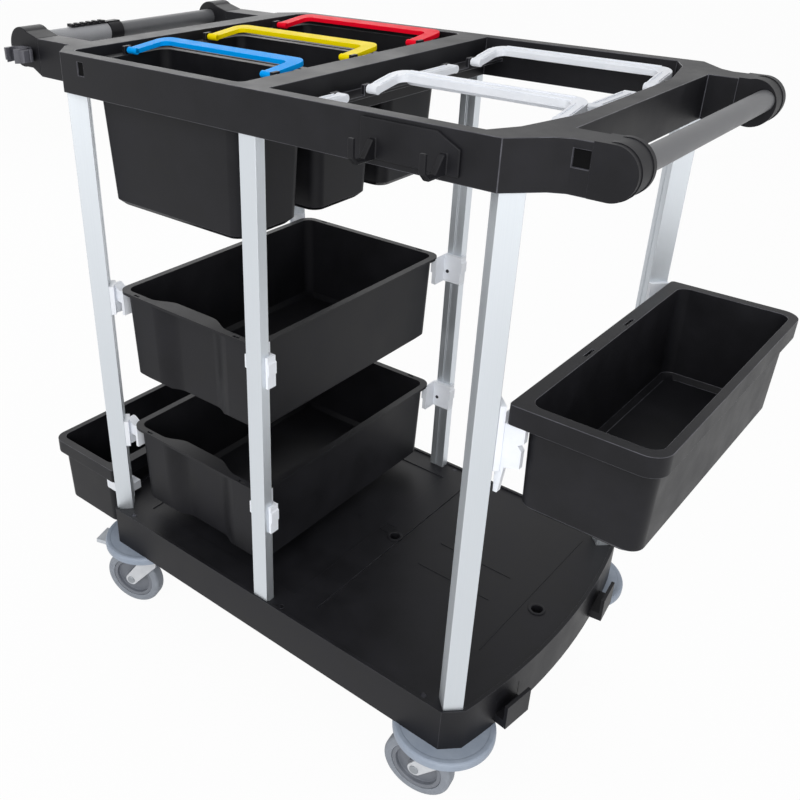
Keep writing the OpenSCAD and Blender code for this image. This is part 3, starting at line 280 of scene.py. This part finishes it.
def drawn_metal(name, colour, *, roughness, line_mm, length_mm, depth_mm):
    """Metal drawn through a die along Z: fine lines that run its whole length.

    The real lines are about 0.2 mm wide. They are drawn 4 times as coarse, so that they show at all."""
    material, tree, shader = start_material(name)
    place = add_node(tree, "TexCoord").outputs["Object"]
    scale = (per_metre(line_mm), per_metre(line_mm), per_metre(length_mm))
    stretched = add_node(tree, "Mapping", values=[("Scale", scale)], links=[("Vector", place)])
    lines = add_node(
        tree, "TexNoise", values=[("Scale", 1.0), ("Detail", 3.0)],
        links=[("Vector", stretched.outputs["Vector"])])
    shine = add_node(
        tree, "MapRange",
        values=[("From Min", NOISE_LOW), ("From Max", NOISE_HIGH),
                ("To Min", roughness - SHINIER), ("To Max", roughness + METAL_DULLER)],
        links=[("Value", lines.outputs["Fac"])])
    bump = add_node(
        tree, "Bump", values=[("Strength", 0.25), ("Distance", depth_mm * MM)],
        links=[("Height", lines.outputs["Fac"])])
    tree.links.new(shine.outputs["Result"], shader.inputs["Roughness"])
    tree.links.new(bump.outputs["Normal"], shader.inputs["Normal"])
    shader.inputs["Base Color"].default_value = colour
    shader.inputs["Metallic"].default_value = 1.0
    return material


def finishes(colours):
    """Every finish of the cart by the record's material slot, with the painted highlight of the edges and the
    painted shade of the recesses.
    """
    made = {}
    # Recycled polypropylene, moulded in a lightly eroded tool: near black, satin, with faint paler flow marks
    made["black_plastic"] = moulded(
        "Recycled polypropylene, moulded", colours.black, colours.black_fleck,
        roughness=0.46, grain_mm=1.6, flow_mm=70, depth_mm=0.12, ior=1.49, gloss=0.2)
    # Painted highlight: the same plastic made paler and a little shinier on the rounded edges, standing in
    # for the light they catch
    made["black_edge_highlight"] = moulded(
        "Recycled polypropylene, painted edge highlight", colours.black_edge_highlight, colours.black_fleck,
        roughness=0.36, grain_mm=1.6, flow_mm=25, depth_mm=0.08, ior=1.49, gloss=0.35)
    # Painted shade: the same plastic made almost black and dull at the bottom of a recess, where shade falls
    made["black_shade"] = moulded(
        "Recycled polypropylene, in a recess", linear("#0d0d0e"), linear("#121213"),
        roughness=0.7, grain_mm=1.6, flow_mm=40, depth_mm=0.1, ior=1.49, gloss=0.05)
    # Anodised aluminium, extruded: almost white in a white room, with fine lines along the post
    made["post_aluminium"] = drawn_metal(
        "Anodised aluminium, extruded", colours.aluminium,
        roughness=0.5, line_mm=0.9, length_mm=600, depth_mm=0.05)
    # Powder coat on steel tube: an even satin grey with a slight orange peel
    made["tube_grey"] = moulded(
        "Powder coat on steel tube", colours.tube, linear("#66676a"),
        roughness=0.42, grain_mm=2.4, flow_mm=40, depth_mm=0.06, ior=1.5)
    # Polyethylene, extruded sleeve: pale grey and soft looking
    made["sleeve_grey"] = moulded(
        "Polyethylene, extruded", linear("#9a9b9f"), linear("#a6a7ab"),
        roughness=0.5, grain_mm=2.0, flow_mm=30, depth_mm=0.1, ior=1.51)
    # Nylon, moulded: mid grey and dull, with a coarse grain for grip
    made["clip_grey"] = moulded(
        "Nylon, moulded", linear("#505057"), linear("#5c5c63"),
        roughness=0.5, grain_mm=1.4, flow_mm=20, depth_mm=0.2, ior=1.53)
    # Black oxide on steel screws: dark with a dull metal glint
    made["screw_steel"] = drawn_metal(
        "Black oxide on steel", linear("#3d3d42"),
        roughness=0.4, line_mm=0.8, length_mm=4, depth_mm=0.05)
    # Polyethylene, moulded bumper: bluish grey and scuffed
    made["bumper_grey"] = moulded(
        "Polyethylene, moulded bumper", linear("#929dad"), linear("#a0aab8"),
        roughness=0.5, grain_mm=1.8, flow_mm=24, depth_mm=0.12, ior=1.51)
    # Acetal, moulded clips: bluish white and glossy
    made["white_plastic"] = moulded(
        "Acetal, moulded", colours.white, linear("#e6eaf1"),
        roughness=0.36, grain_mm=2.6, flow_mm=30, depth_mm=0.04, ior=1.48)
    # ABS in three colours, moulded in a polished tool: bright and even, with little glare
    for slot, name, shade in (("bail_blue_plastic", "ABS, blue", colours.blue),
                              ("bail_yellow_plastic", "ABS, yellow", colours.yellow),
                              ("bail_red_plastic", "ABS, red", colours.red)):
        deeper = [c * FLOW_SHADE for c in shade[:3]] + [1.0]
        made[slot] = moulded(
            name + ", polished mould", shade, deeper,
            roughness=0.42, grain_mm=3.0, flow_mm=30, depth_mm=0.03, ior=1.5, gloss=0.05)
    # Enamel on pressed steel, the fork: pale grey, satin
    made["fork_steel"] = moulded(
        "Enamel on pressed steel", linear("#d3d5d9"), linear("#c6c9ce"),
        roughness=0.34, grain_mm=2.0, flow_mm=18, depth_mm=0.05, ior=1.5)
    # Zinc plate on steel axle: cool grey metal
    made["axle_steel"] = drawn_metal(
        "Zinc plate on steel", linear("#9da1a6"),
        roughness=0.36, line_mm=0.8, length_mm=6, depth_mm=0.04)
    # Polypropylene, moulded hub: mid grey
    made["hub_plastic"] = moulded(
        "Polypropylene, moulded hub", linear("#6f737b"), linear("#7a7e86"),
        roughness=0.46, grain_mm=1.6, flow_mm=16, depth_mm=0.08, ior=1.49)
    # Thermoplastic rubber, moulded tyre: grey, dull, dusty
    made["tyre_grey"] = moulded(
        "Thermoplastic rubber, moulded", linear("#878c95"), linear("#949aa2"),
        roughness=0.6, grain_mm=1.5, flow_mm=14, depth_mm=0.16, ior=1.5)
    # Nylon, moulded pedal: pale grey
    made["pedal_plastic"] = moulded(
        "Nylon, moulded pedal", linear("#c3c8cf"), linear("#d2d6db"),
        roughness=0.4, grain_mm=1.6, flow_mm=16, depth_mm=0.08, ior=1.53)
    return made


FINISHES = {}


def finish_of(slot):
    """One finish by its name. All are made at the first use."""
    if not FINISHES:
        FINISHES.update(finishes(bpy.context.scene.cart_colours))
    return FINISHES[slot]


# Shared dressing of the CAD nodes


def slot_of(node):
    """The record's material slot of a CAD node."""
    return next(s["material_slot"] for s in frame["record"]["subparts"] if s["node"] == node)


def round_edges(piece, edge, segments, clamp=True):
    """Rounds a piece's sharp edges by edge metres and shades it smoothly. Returns the bevel."""
    bevel = piece.modifiers.new("Edge", "BEVEL")
    bevel.width = edge
    bevel.segments = segments
    bevel.limit_method = "ANGLE"
    bevel.angle_limit = math.radians(SHARP_DEG)
    bevel.harden_normals = False
    bevel.use_clamp_overlap = clamp
    shade = piece.modifiers.new("Shading", "WEIGHTED_NORMAL")
    shade.keep_sharp = False
    return bevel


def dress(node, edge, segments=3, edge_highlight_finish=None, clamp=True):
    """Gives a CAD node its finish and rounds its sharp edges by edge metres, or by less if clamped. A paler
    edge finish, if given, paints a highlight on the rounded edges.
    """
    solid = NODES[node]
    solid.data.materials.clear()
    solid.data.materials.append(finish_of(slot_of(node)))
    weld = solid.modifiers.new("Weld", "WELD")
    weld.merge_threshold = WELD * MM
    flat = solid.modifiers.new("Flat faces", "DECIMATE")
    flat.decimate_type = "DISSOLVE"
    flat.angle_limit = math.radians(FLAT_DEG)
    bevel = round_edges(solid, edge, segments, clamp)
    # The rounded edges get the paler finish, a painted highlight along them
    if edge_highlight_finish:
        solid.data.materials.append(finish_of(edge_highlight_finish))
        bevel.material = 1


def each(*starts):
    """Names of the CAD nodes that start with one of these."""
    return [n for n in sorted(NODES) if n.startswith(starts)]


# Mesh pieces, worked in millimetres


def node_box(node):
    """Lowest and highest corner of a CAD node, in millimetres."""
    low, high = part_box(node)
    return low / MM, high / MM


def upright(point, front):
    """A place at point that stands upright, with its Y axis towards front."""
    y = Vector(front).normalized()
    z = Vector((0, 0, 1))
    turn = Matrix((y.cross(z), y, z)).transposed().to_4x4()
    return Matrix.Translation(point) @ turn


def outward(point, normal):
    """A place at point with its Z axis along normal."""
    return Matrix.Translation(point) @ Vector(normal).to_track_quat("Z", "Y").to_matrix().to_4x4()


def prism(form, outline, depth, place):
    """Adds an outline in its own XY plane, pushed out by depth along Z and set at place."""
    low = [form.verts.new(place @ Vector((x, y, 0))) for x, y in outline]
    high = [form.verts.new(place @ Vector((x, y, depth))) for x, y in outline]
    form.faces.new(low[::-1])
    form.faces.new(high)
    for k in range(len(outline)):
        form.faces.new((low[k - 1], low[k], high[k], high[k - 1]))


def turned(form, profile, place, steps=40):
    """Adds a form turned about its own Z from (radius, height) pairs: a ring, or a solid from the axis."""
    angles = [math.tau * k / steps for k in range(steps)]
    rings = []
    for radius, height in profile:
        if radius == 0:
            rings.append([form.verts.new(place @ Vector((0, 0, height)))] * steps)
            continue
        points = [Vector((radius * math.cos(a), radius * math.sin(a), height)) for a in angles]
        rings.append([form.verts.new(place @ point) for point in points])
    closing = [] if profile[0][0] == 0 else rings[:1]
    for low, high in zip(rings, rings[1:] + closing):
        for k in range(steps):
            form.faces.new(list(dict.fromkeys((low[k - 1], low[k], high[k], high[k - 1]))))


def rounded_bar(length, width, steps=6):
    """Outline of a flat bar along X with half round ends, centred."""
    r = width / 2
    points = []
    for side in (1, -1):
        for k in range(steps + 1):
            a = math.pi * (k / steps - 0.5)
            points.append((side * (length / 2 - r + r * math.cos(a)), side * r * math.sin(a)))
    return points


def button_head(form, place, radius):
    """Adds a button head screw with a round socket."""
    turned(form, [(r * radius, z * radius) for r, z in SCREW_SECTION], place, steps=24)


def new_piece(name, body, slot, build, *details, edge_mm):
    """A mesh piece on a body: build fills its form in millimetres, and edge_mm rounds its sharp edges."""
    form = bmesh.new()
    build(form, *details)
    bmesh.ops.recalc_face_normals(form, faces=form.faces)
    form.transform(Matrix.Scale(MM, 4))
    mesh = bpy.data.meshes.new(name)
    form.to_mesh(mesh)
    form.free()
    mesh.shade_smooth()
    mesh.materials.append(finish_of(slot))
    piece = bpy.data.objects.new(name, mesh)
    bpy.context.scene.collection.objects.link(piece)
    round_edges(piece, edge_mm * MM, segments=2)
    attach(piece, body)
    return piece


def post_faces():
    """Each post with its inner face's middle at z = 0, the way it looks and half its depth, in mm."""
    faces = []
    for node in each("post_"):
        low, high = node_box(node)
        middle = (low + high) / 2
        half = (high.y - low.y) / 2
        look = Vector((0, -math.copysign(1, middle.y), 0))
        if not node.endswith("_mid"):
            look = Vector((-math.copysign(1, middle.x), look.y, 0)).normalized()
            half /= math.sqrt(2)
        middle.z = 0
        faces.append((node, middle + look * half, look, half))
    return faces


class CART_OT_deck(Operator):
    """Dress the deck with its screws, clip blocks and bumpers"""

    bl_idname = "cart.deck"
    bl_label = "Deck"

    def execute(self, context):
        sizes = context.scene.cart_sizes
        for node in ("base_deck", "deck_hooks"):
            dress(node, sizes.moulded_edge, edge_highlight_finish="black_edge_highlight")
        dress("castor_bumpers", sizes.moulded_edge)
        dress("deck_screws", sizes.metal_edge)
        new_piece("bumper_rims", "cart", "bumper_grey", self.bumper_rims, edge_mm=0.2)
        new_piece("drain_cups", "cart", "black_plastic", self.drain_cups, edge_mm=0.2)
        new_piece("deck_marks", "cart", "black_plastic", self.marks, edge_mm=0.2)
        return {"FINISHED"}

    def bumper_rims(self, form):
        """A low raised rim round the top of each bumper disc."""
        high = node_box("castor_bumpers")[1]
        for swivel in (name for name in JOINTS if name.startswith("swivel_")):
            x, y = (v / MM for v in JOINTS[swivel]["pos_m"][:2])
            radius = min(high.x - abs(x), high.y - abs(y))
            profile = [(radius - inset, z) for inset, z in RIM_SECTION]
            turned(form, profile, Matrix.Translation((x, y, high.z)), steps=72)

    def drain_cups(self, form):
        """A flanged cup in each drain hole."""
        floor = node_box("base_deck")[1].z - FLOOR_DROP
        for x, y in DRAINS:
            turned(form, CUP_SECTION, Matrix.Translation((x, y, floor)))

    def marks(self, form):
        """Low ribs, a bead, the edge of a square pocket and a key slot's lip, moulded on the floor."""
        top = node_box("base_deck")[1].z
        floor = top - FLOOR_DROP - SUNK
        x0, x1 = RIB_ENDS
        width, height = RIB
        for y in RIB_ROWS:
            prism(form, rounded_bar(x1 - x0, width), height, Matrix.Translation(((x0 + x1) / 2, y, floor)))
        y0, y1 = BEAD_ENDS
        width, height = BEAD
        middle = Matrix.Translation((BEAD_X, (y0 + y1) / 2, floor))
        prism(form, rounded_bar(y1 - y0, width), height, middle @ Matrix.Rotation(math.pi / 2, 4, "Z"))
        length, width, height = POCKET_SIDE
        for k in range(4):
            turn = Matrix.Rotation(k * math.pi / 2, 4, "Z")
            side = Matrix.Translation((*POCKET, floor)) @ turn @ Matrix.Translation((0, POCKET_HALF, 0))
            prism(form, rounded_bar(length, width), height, side)
        length, width, height = SLOT_LIP
        panel = Matrix.Translation((*KEY_SLOT, top - PANEL_DROP - SUNK))
        prism(form, rounded_bar(length, width), height, panel)


class CART_OT_posts(Operator):
    """Dress the six posts"""

    bl_idname = "cart.posts"
    bl_label = "Posts"

    def execute(self, context):
        for node in each("post_"):
            dress(node, context.scene.cart_sizes.metal_edge)
        new_piece("post_inlays", "cart", "post_aluminium", self.inlays, edge_mm=0.15)
        return {"FINISHED"}

    def inlays(self, form):
        """A grooved strip in the slot of each post, from the deck to the top frame."""
        foot = node_box("base_deck")[1].z - FLOOR_DROP + INLAY_GAP
        head = node_box("top_frame")[0].z - INLAY_GAP
        w = SLOT_W / 2 - SLOT_PLAY
        face, groove, groove_w = -0.7, -1.2, 0.5
        for _, point, look, half in post_faces():
            back = -half / 2 + SUNK
            outline = [(-w, back), (w, back), (w, face), (groove_w, face), (0, groove), (-groove_w, face),
                       (-w, face)]
            prism(form, outline, head - foot, upright(point + Vector((0, 0, foot)), look))


class CART_OT_top_frame(Operator):
    """Dress the top frame and the hook plate"""

    bl_idname = "cart.top_frame"
    bl_label = "Top frame"

    def execute(self, context):
        sizes = context.scene.cart_sizes
        dress("top_frame", sizes.metal_edge, edge_highlight_finish="black_edge_highlight", clamp=False)
        dress("hook_plate", sizes.moulded_edge)
        # Thin panels in the darker finish on the recesses' floors: painted shade
        panels = new_piece("recess_shade_panels", "cart", "black_plastic", self.recess_shade_panels, edge_mm=0.1)
        panels.data.materials[0] = finish_of("black_shade")
        return {"FINISHED"}

    def recess_shade_panels(self, form):
        """A thin panel of painted shade on the floor of each recess in the frame's outer sides."""
        rim = RECESS_RIM
        z0, z1 = RECESS_Z
        for x, length, floor in RECESSES:
            right, top = length - rim, z1 - z0 - rim
            outline = [(rim, rim), (right, rim), (right, top), (rim, top)]
            for side in (1, -1):
                corner = Matrix.Translation((x, side * (floor - SUNK), z0))
                standing = Matrix.Diagonal((1, -side, 1, 1)) @ Matrix.Rotation(math.pi / 2, 4, "X")
                prism(form, outline, 3 * SUNK, corner @ standing)


class CART_OT_handles(Operator):
    """Dress the handle caps, push tubes and the fittings on the left tube"""

    bl_idname = "cart.handles"
    bl_label = "Handles"

    def execute(self, context):
        sizes = context.scene.cart_sizes
        for node in each("handle_cap", "tube_clamp", "mop_clip"):
            dress(node, sizes.moulded_edge)
        for node in each("handle_tube", "tube_sleeve"):
            dress(node, sizes.metal_edge)
        new_piece("mop_grip_pads", "cart", "clip_grey", self.grip_pads, edge_mm=0.8)
        return {"FINISHED"}

    def grip_pads(self, form):
        """A toothed pad on each side of the mop clip."""
        low, high = node_box("mop_clip")
        middle = (low + high) / 2
        for side, x in ((1, high.x), (-1, low.x)):
            place = Matrix.Translation((x, middle.y, low.z + GRIP_INSET)) @ Matrix.Diagonal((side, 1, 1, 1))
            prism(form, GRIP_SECTION, high.z - low.z - 2 * GRIP_INSET, place)


class CART_OT_buckets(Operator):
    """Dress the three buckets and their coloured bails"""

    bl_idname = "cart.buckets"
    bl_label = "Buckets"

    def execute(self, context):
        sizes = context.scene.cart_sizes
        for node in each("bucket_"):
            dress(node, sizes.rim_edge, edge_highlight_finish="black_edge_highlight")
        for node in each("bail_"):
            dress(node, sizes.strap_edge)
            swing = JOINTS["swing_" + node]
            pivot = Vector(swing["pos_m"]) / MM
            new_piece(node + "_eyes", swing["child"], slot_of(node), self.eyes, pivot, edge_mm=0.6)
        return {"FINISHED"}

    def eyes(self, form, pivot):
        """Rounded eyes at the ends of a bail's two straps, round its pivots."""
        flat_r, flat_w = EYE_R - EYE_EDGE, BAIL_W - EYE_EDGE
        profile = [(0, 0), (flat_r, 0), (EYE_R, EYE_EDGE), (EYE_R, flat_w), (flat_r, BAIL_W), (0, BAIL_W)]
        for side in (1, -1):
            start = pivot + Vector((side * (BAIL_SPAN / 2 - BAIL_W), 0, 0))
            turned(form, profile, outward(start, (side, 0, 0)), steps=32)


class CART_OT_bag_bails(Operator):
    """Dress the four white bag bails"""

    bl_idname = "cart.bag_bails"
    bl_label = "Bag bails"

    def execute(self, context):
        for node in each("bag_bail"):
            dress(node, context.scene.cart_sizes.strap_edge)
            swing = JOINTS["swing_" + node]
            new_piece(node + "_beads", swing["child"], slot_of(node), self.beads, node, swing, edge_mm=0.4)
        return {"FINISHED"}

    def beads(self, form, node, swing):
        """Beads along both edges of a bail's straps, and low ribs across its bar."""
        low, high = node_box(node)
        pivot = Vector(swing["pos_m"]) / MM
        side = swing["axis"][0]
        reach = high.y - pivot.y if side > 0 else pivot.y - low.y
        tilt = math.radians(BAG_TILT if high.z - pivot.z > BAG_T else 0.0)
        strap = (Matrix.Translation(pivot) @ Matrix.Diagonal((1, side, 1, 1))
                 @ Matrix.Rotation(tilt, 4, "X") @ Matrix.Translation((0, 0, BAG_T / 2 - SUNK)))
        across = Matrix.Rotation(math.pi / 2, 4, "Z")
        leg = reach - BAG_CORNER - BAG_FOOT
        for inset in (BEAD_W, BAG_W - BEAD_W):
            bar = rounded_bar(BAG_SPAN - 2 * BAG_CORNER, BEAD_W)
            prism(form, bar, BEAD_H, strap @ Matrix.Translation((0, reach - inset, 0)))
            for end in (1, -1):
                middle = Matrix.Translation((end * (BAG_SPAN / 2 - inset), BAG_FOOT + leg / 2, 0))
                prism(form, rounded_bar(leg, BEAD_W), BEAD_H, strap @ middle @ across)
        for k in range(BAR_RIBS):
            x = (k - (BAR_RIBS - 1) / 2) * BAR_RIB_PITCH
            rib = Matrix.Translation((x, reach - BAG_W / 2, 0))
            prism(form, rounded_bar(BAG_W - 2 * BEAD_W, BAR_RIB_W), BEAD_H / 2, strap @ rib @ across)


class CART_OT_trays(Operator):
    """Dress the two trays and their white clips"""

    bl_idname = "cart.trays"
    bl_label = "Trays"

    def execute(self, context):
        sizes = context.scene.cart_sizes
        for node in ("tray_upper", "tray_lower"):
            dress(node, sizes.rim_edge, edge_highlight_finish="black_edge_highlight")
        for node in each("tray_clips"):
            dress(node, sizes.moulded_edge)
        new_piece("clip_screws", "cart", "screw_steel", self.clip_screws, edge_mm=0.15)
        return {"FINISHED"}

    def clip_screws(self, form):
        """One screw through the free half of each clip's pad."""
        for clips in each("tray_clips"):
            low, high = node_box(clips)
            level = low.z * (1 - CLIP_SCREW_LEVEL) + high.z * CLIP_SCREW_LEVEL
            for node, point, look, _ in post_faces():
                if node.endswith("_right"):
                    continue
                side = Vector((-look.x, look.y, 0)) * CORNER_SCREW_ASIDE
                if node.endswith("_mid"):
                    side = Vector((-MID_SCREW_ASIDE, 0, 0))
                place = point + look * PAD_T + side + Vector((0, 0, level))
                button_head(form, outward(place, look), CLIP_SCREW_R)


class CART_OT_bins(Operator):
    """Dress the two end bins and their white brackets"""

    bl_idname = "cart.bins"
    bl_label = "End bins"

    def execute(self, context):
        sizes = context.scene.cart_sizes
        for node in ("bin_right", "bin_left"):
            dress(node, sizes.rim_edge, edge_highlight_finish="black_edge_highlight")
        for node in each("bin_brackets"):
            dress(node, sizes.moulded_edge)
        return {"FINISHED"}


class CART_OT_castors(Operator):
    """Dress the four castors and their pedals"""

    bl_idname = "cart.castors"
    bl_label = "Castors"

    def execute(self, context):
        sizes = context.scene.cart_sizes
        for node in each("castor_fork", "wheel_hub", "brake_pedal"):
            dress(node, sizes.moulded_edge)
        for node in each("castor_axle", "tyre_"):
            dress(node, sizes.metal_edge)
        return {"FINISHED"}


# Stage


def seen_white(tree, strength):
    """A factor that is strength for the camera, reflections and glass, and 0 for other rays."""
    path = add_node(tree, "LightPath")
    looks = add_node(
        tree, "Math", operation="MAXIMUM",
        links=[(0, path.outputs["Is Camera Ray"]), (1, path.outputs["Is Glossy Ray"])])
    looks = add_node(
        tree, "Math", operation="MAXIMUM",
        links=[(0, looks.outputs["Value"]), (1, path.outputs["Is Transmission Ray"])])
    return add_node(
        tree, "Math", values=[(1, strength)], operation="MULTIPLY", links=[(0, looks.outputs["Value"])])


def softbox(name, place, target, size, watts):
    """A square area lamp that faces a point."""
    lamp = bpy.data.lights.new(name, "AREA")
    lamp.shape = "SQUARE"
    lamp.size = size
    lamp.energy = watts
    holder = bpy.data.objects.new(name, lamp)
    holder.location = place
    holder.rotation_euler = (Vector(target) - Vector(place)).to_track_quat("-Z", "Y").to_euler()
    bpy.context.scene.collection.objects.link(holder)


class CART_OT_stage(Operator):
    """Set the floor, the background, the lamps and the camera"""

    bl_idname = "cart.stage"
    bl_label = "Stage"

    def execute(self, context):
        scene = context.scene
        scene.view_settings.view_transform = "Standard"
        white = scene.cart_colours.floor
        self.floor(scene, white)
        self.world(scene, white)
        middle = (CAD_LOW + CAD_HIGH) / 2
        softbox("Key", (1.0, -2.9, 2.4), middle, size=2.4, watts=64)
        softbox("Sheen", (2.8, -1.2, 1.3), middle, size=1.2, watts=14)
        softbox("Back", (-2.4, 1.6, 2.4), middle, size=2.6, watts=26)
        self.camera(scene)
        return {"FINISHED"}

    def floor(self, scene, white):
        """A wide plane at the wheels' feet that shows nearly white and keeps a soft shadow."""
        mesh = bpy.data.meshes.new("Floor")
        half = 14.0
        corners = [(-half, -half, 0), (half, -half, 0), (half, half, 0), (-half, half, 0)]
        mesh.from_pydata(corners, [], [(0, 1, 2, 3)])
        floor = bpy.data.objects.new("Floor", mesh)
        floor.location.z = CAD_LOW.z
        scene.collection.objects.link(floor)
        material = bpy.data.materials.new("Paper sweep, matt")
        material.use_nodes = True
        tree = material.node_tree
        tree.nodes.clear()
        paper = add_node(tree, "BsdfDiffuse", values=[("Color", linear("#e8e8e8"))])
        glow = add_node(tree, "Emission", values=[("Color", white), ("Strength", 1.0)])
        shown = 0.96
        mix = add_node(
            tree, "MixShader",
            links=[(0, seen_white(tree, shown).outputs["Value"]), (1, paper.outputs["BSDF"]),
                   (2, glow.outputs["Emission"])])
        add_node(tree, "OutputMaterial", links=[("Surface", mix.outputs["Shader"])])
        mesh.materials.append(material)

    def world(self, scene, white):
        """White to the eye and in reflections, softer as a light."""
        world = bpy.data.worlds.new("Studio")
        scene.world = world
        world.use_nodes = True
        tree = world.node_tree
        tree.nodes.clear()
        ambient = 0.5
        level = add_node(
            tree, "MapRange", values=[("To Min", ambient), ("To Max", 1.0)],
            links=[("Value", seen_white(tree, 1.0).outputs["Value"])])
        back = add_node(
            tree, "Background", values=[("Color", white)], links=[("Strength", level.outputs["Result"])])
        add_node(tree, "OutputWorld", links=[("Surface", back.outputs["Background"])])

    def camera(self, scene):
        """The photo's view: its place, direction, lens and crop."""
        data = bpy.data.cameras.new("Camera")
        data.sensor_width = SENSOR_MM
        data.lens = FOCAL_PX / IMAGE_PX * SENSOR_MM
        data.shift_x = (IMAGE_PX / 2 - CENTRE_PX[0]) / IMAGE_PX
        data.shift_y = (CENTRE_PX[1] - IMAGE_PX / 2) / IMAGE_PX
        camera = bpy.data.objects.new("Camera", data)
        camera.location = CAMERA_PLACE
        camera.rotation_euler = (
            Matrix.Rotation(math.radians(CAMERA_AZIMUTH), 3, "Z")
            @ Matrix.Rotation(math.radians(90 - CAMERA_ELEVATION), 3, "X")
            @ Matrix.Rotation(math.radians(CAMERA_ROLL), 3, "Z")
        ).to_euler()
        scene.collection.objects.link(camera)
        scene.camera = camera


STEPS = (
    CART_OT_deck, CART_OT_posts, CART_OT_top_frame, CART_OT_handles, CART_OT_buckets, CART_OT_bag_bails,
    CART_OT_trays, CART_OT_bins, CART_OT_castors, CART_OT_stage,
)


class CART_PT_panel(Panel):
    """Lists the cart's steps, sizes and colours"""

    bl_label = "Janitor cart"
    bl_idname = "CART_PT_panel"
    bl_space_type = "VIEW_3D"
    bl_region_type = "UI"
    bl_category = "Cart"

    def draw(self, context):
        for step in STEPS:
            self.layout.operator(step.bl_idname)
        for group in (context.scene.cart_sizes, context.scene.cart_colours):
            column = self.layout.column()
            for name in group.__annotations__:
                column.prop(group, name)


CLASSES = (CartSizes, CartColours, *STEPS, CART_PT_panel)


def register():
    for cls in CLASSES:
        bpy.utils.register_class(cls)
    bpy.types.Scene.cart_sizes = PointerProperty(type=CartSizes)
    bpy.types.Scene.cart_colours = PointerProperty(type=CartColours)


def unregister():
    del bpy.types.Scene.cart_colours
    del bpy.types.Scene.cart_sizes
    for cls in reversed(CLASSES):
        bpy.utils.unregister_class(cls)


def main():
    register()
    bpy.ops.cart.deck()
    bpy.ops.cart.posts()
    bpy.ops.cart.top_frame()
    bpy.ops.cart.handles()
    bpy.ops.cart.buckets()
    bpy.ops.cart.bag_bails()
    bpy.ops.cart.trays()
    bpy.ops.cart.bins()
    bpy.ops.cart.castors()
    bpy.ops.cart.stage()


if __name__ == "__main__":
    main()
